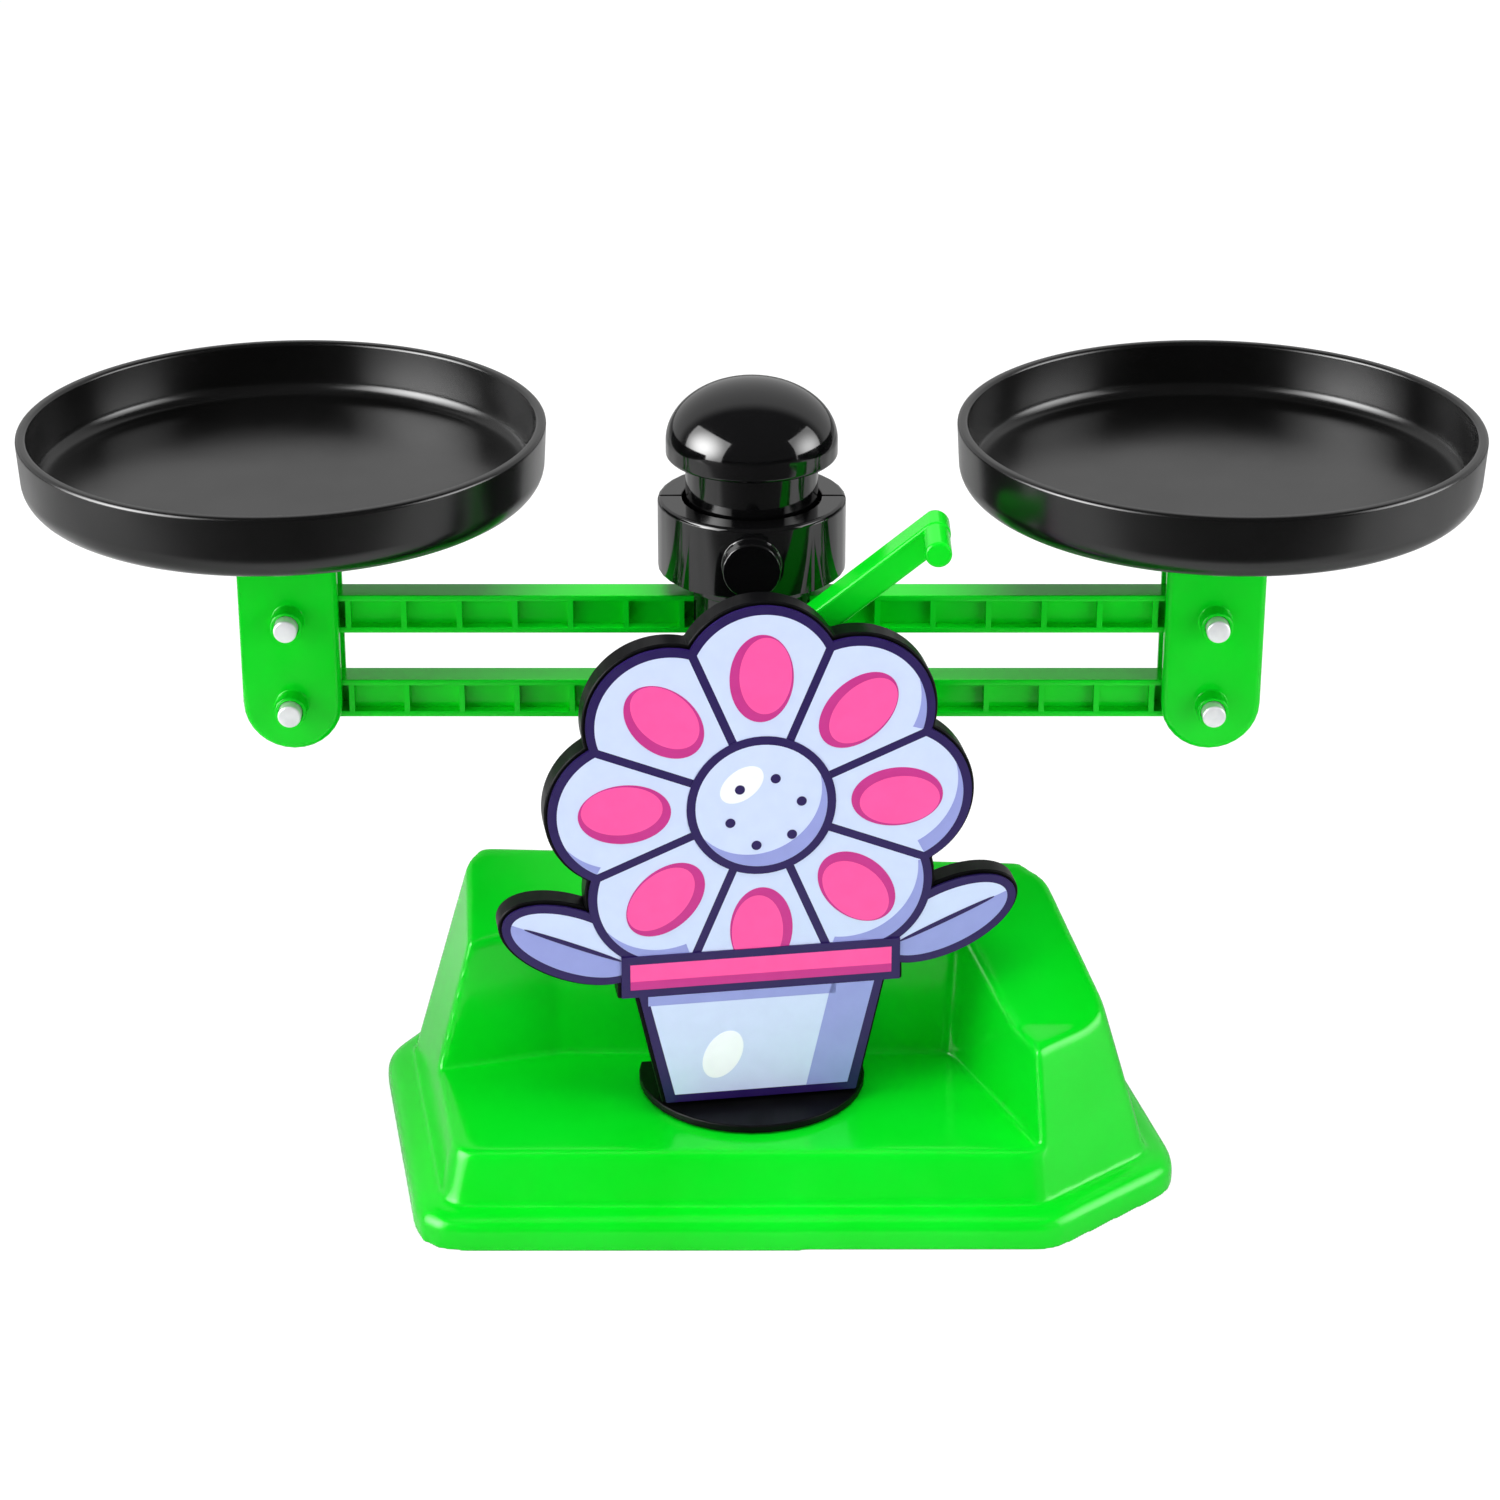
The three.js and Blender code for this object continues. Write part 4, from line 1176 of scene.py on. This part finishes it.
def floor():
    """White paper that glows for the camera, keeps its shadows and ends in front for the gloss."""
    mesh = bpy.data.meshes.new("floor")
    corners = rectangle(-FLOOR_HALF_M, FLOOR_HALF_M, -FLOOR_HALF_M, FLOOR_HALF_M)
    mesh.from_pydata([(x, y, 0) for x, y in corners], [], [(0, 1, 2, 3)])
    made = bpy.data.objects.new("floor", mesh)
    made.location.z = -FLOOR_DROP * MM
    bpy.context.scene.collection.objects.link(made)
    finish = Finish("floor_paper", Roughness=0.7, Specular_IOR_Level=0.1)
    nodes, links = finish.tree.nodes, finish.tree.links
    path = nodes.new("ShaderNodeLightPath").outputs
    place = nodes.new("ShaderNodeSeparateXYZ")
    links.new(finish.coords, place.inputs["Vector"])
    paper = nodes.new("ShaderNodeMapRange")
    paper.inputs["From Min"].default_value = PAPER_EDGE_M - PAPER_BLUR_M
    paper.inputs["From Max"].default_value = PAPER_EDGE_M + PAPER_BLUR_M
    paper.inputs["To Max"].default_value = PAPER_GLOSS
    links.new(place.outputs["Y"], paper.inputs["Value"])
    white = nodes.new("ShaderNodeMix")
    links.new(path["Is Glossy Ray"], white.inputs["Factor"])
    white.inputs["A"].default_value = 1
    links.new(paper.outputs["Result"], white.inputs["B"])
    grain = nodes.new("ShaderNodeMath")
    grain.operation = "MULTIPLY"
    links.new(white.outputs["Result"], grain.inputs[0])
    links.new(finish.noise(*PAPER_GRAIN), grain.inputs[1])
    greys = (PAPER_DARK, PAPER_LIGHT)
    finish.colour(grain.outputs["Value"], *greys, PAPER_DARK_AT, PAPER_LIGHT_AT)
    seen = nodes.new("ShaderNodeMath")
    seen.operation = "MULTIPLY"
    seen.inputs[1].default_value = PAPER_SEEN
    links.new(path["Is Camera Ray"], seen.inputs[0])
    glow = nodes.new("ShaderNodeEmission")
    glow.inputs["Strength"].default_value = PAPER_GLOW
    mix = nodes.new("ShaderNodeMixShader")
    links.new(seen.outputs["Value"], mix.inputs["Fac"])
    links.new(finish.shader.outputs["BSDF"], mix.inputs[1])
    links.new(glow.outputs["Emission"], mix.inputs[2])
    links.new(mix.outputs["Shader"], nodes["Material Output"].inputs["Surface"])
    mesh.materials.append(finish.material)


def panel(name, azimuth, elevation, distance, width, height, edge, middle, spread):
    """A lit rectangle that faces the balance, with the glow of its edge and of its middle."""
    turn, rise = math.radians(azimuth), math.radians(elevation)
    level = math.cos(rise)
    out = Vector((math.sin(turn) * level, -math.cos(turn) * level, math.sin(rise)))
    data = bpy.data.lights.new(name, "AREA")
    data.shape = "RECTANGLE"
    data.size = width
    data.size_y = height
    data.energy = math.pi * width * height
    data.use_nodes = True
    nodes, links = data.node_tree.nodes, data.node_tree.links
    off = nodes.new("ShaderNodeVectorMath")
    off.operation = "MULTIPLY_ADD"
    off.inputs[1].default_value = (width, height, 0)
    off.inputs[2].default_value = (-width / 2, -height / 2, 0)
    links.new(nodes.new("ShaderNodeNewGeometry").outputs["Parametric"], off.inputs[0])
    reach = nodes.new("ShaderNodeVectorMath")
    reach.operation = "LENGTH"
    links.new(off.outputs["Vector"], reach.inputs[0])
    glow = nodes.new("ShaderNodeMapRange")
    glow.interpolation_type = "SMOOTHSTEP"
    glow.inputs["From Max"].default_value = spread
    glow.inputs["To Min"].default_value = middle
    glow.inputs["To Max"].default_value = edge
    links.new(reach.outputs["Value"], glow.inputs["Value"])
    links.new(glow.outputs["Result"], nodes["Emission"].inputs["Strength"])
    made = bpy.data.objects.new(name, data)
    made.location = Vector(LIT_POINT_M) + out * distance
    made.rotation_mode = "QUATERNION"
    made.rotation_quaternion = (-out).to_track_quat("-Z", "Y")
    bpy.context.scene.collection.objects.link(made)
    return made


def studio():
    """A light tent, pale behind and dark in front, with its sheets and lamps."""
    world = bpy.data.worlds.new("studio")
    world.use_nodes = True
    nodes, links = world.node_tree.nodes, world.node_tree.links
    heading = nodes.new("ShaderNodeSeparateXYZ")
    links.new(nodes.new("ShaderNodeTexCoord").outputs["Generated"], heading.inputs["Vector"])
    glow = nodes.new("ShaderNodeMapRange")
    glow.interpolation_type = "SMOOTHSTEP"
    glow.inputs["From Min"].default_value = TENT_TURN_START
    glow.inputs["From Max"].default_value = TENT_TURN_END
    glow.inputs["To Min"].default_value = TENT_FRONT
    glow.inputs["To Max"].default_value = TENT_BACK
    links.new(heading.outputs["Y"], glow.inputs["Value"])
    seen = nodes.new("ShaderNodeMix")
    camera_ray = nodes.new("ShaderNodeLightPath").outputs["Is Camera Ray"]
    links.new(camera_ray, seen.inputs["Factor"])
    links.new(glow.outputs["Result"], seen.inputs["A"])
    seen.inputs["B"].default_value = 1
    links.new(seen.outputs["Result"], nodes["Background"].inputs["Strength"])
    nodes["Background"].inputs["Color"].default_value = (1, 1, 1, 1)
    bpy.context.scene.world = world
    for name, azimuth, elevation, *glowing in SHEETS:
        sheet = panel(name, azimuth, elevation, SHEET_DISTANCE_M, *glowing)
        sheet.visible_diffuse = False
    for name, azimuth, elevation, size, strength in LAMPS:
        square = (size, size, strength, strength, size)
        lamp = panel(name, azimuth, elevation, LAMP_DISTANCE_M, *square)
        lamp.visible_glossy = False


def camera():
    data = bpy.data.cameras.new("camera")
    data.lens = LENS
    data.sensor_width = SENSOR
    made = bpy.data.objects.new("camera", data)
    made.location = CAMERA_M
    made.rotation_euler = (math.radians(90 - CAMERA_PITCH), 0, 0)
    bpy.context.scene.collection.objects.link(made)
    bpy.context.scene.camera = made


floor()
studio()
camera()
bpy.context.scene.view_settings.view_transform = "Standard"
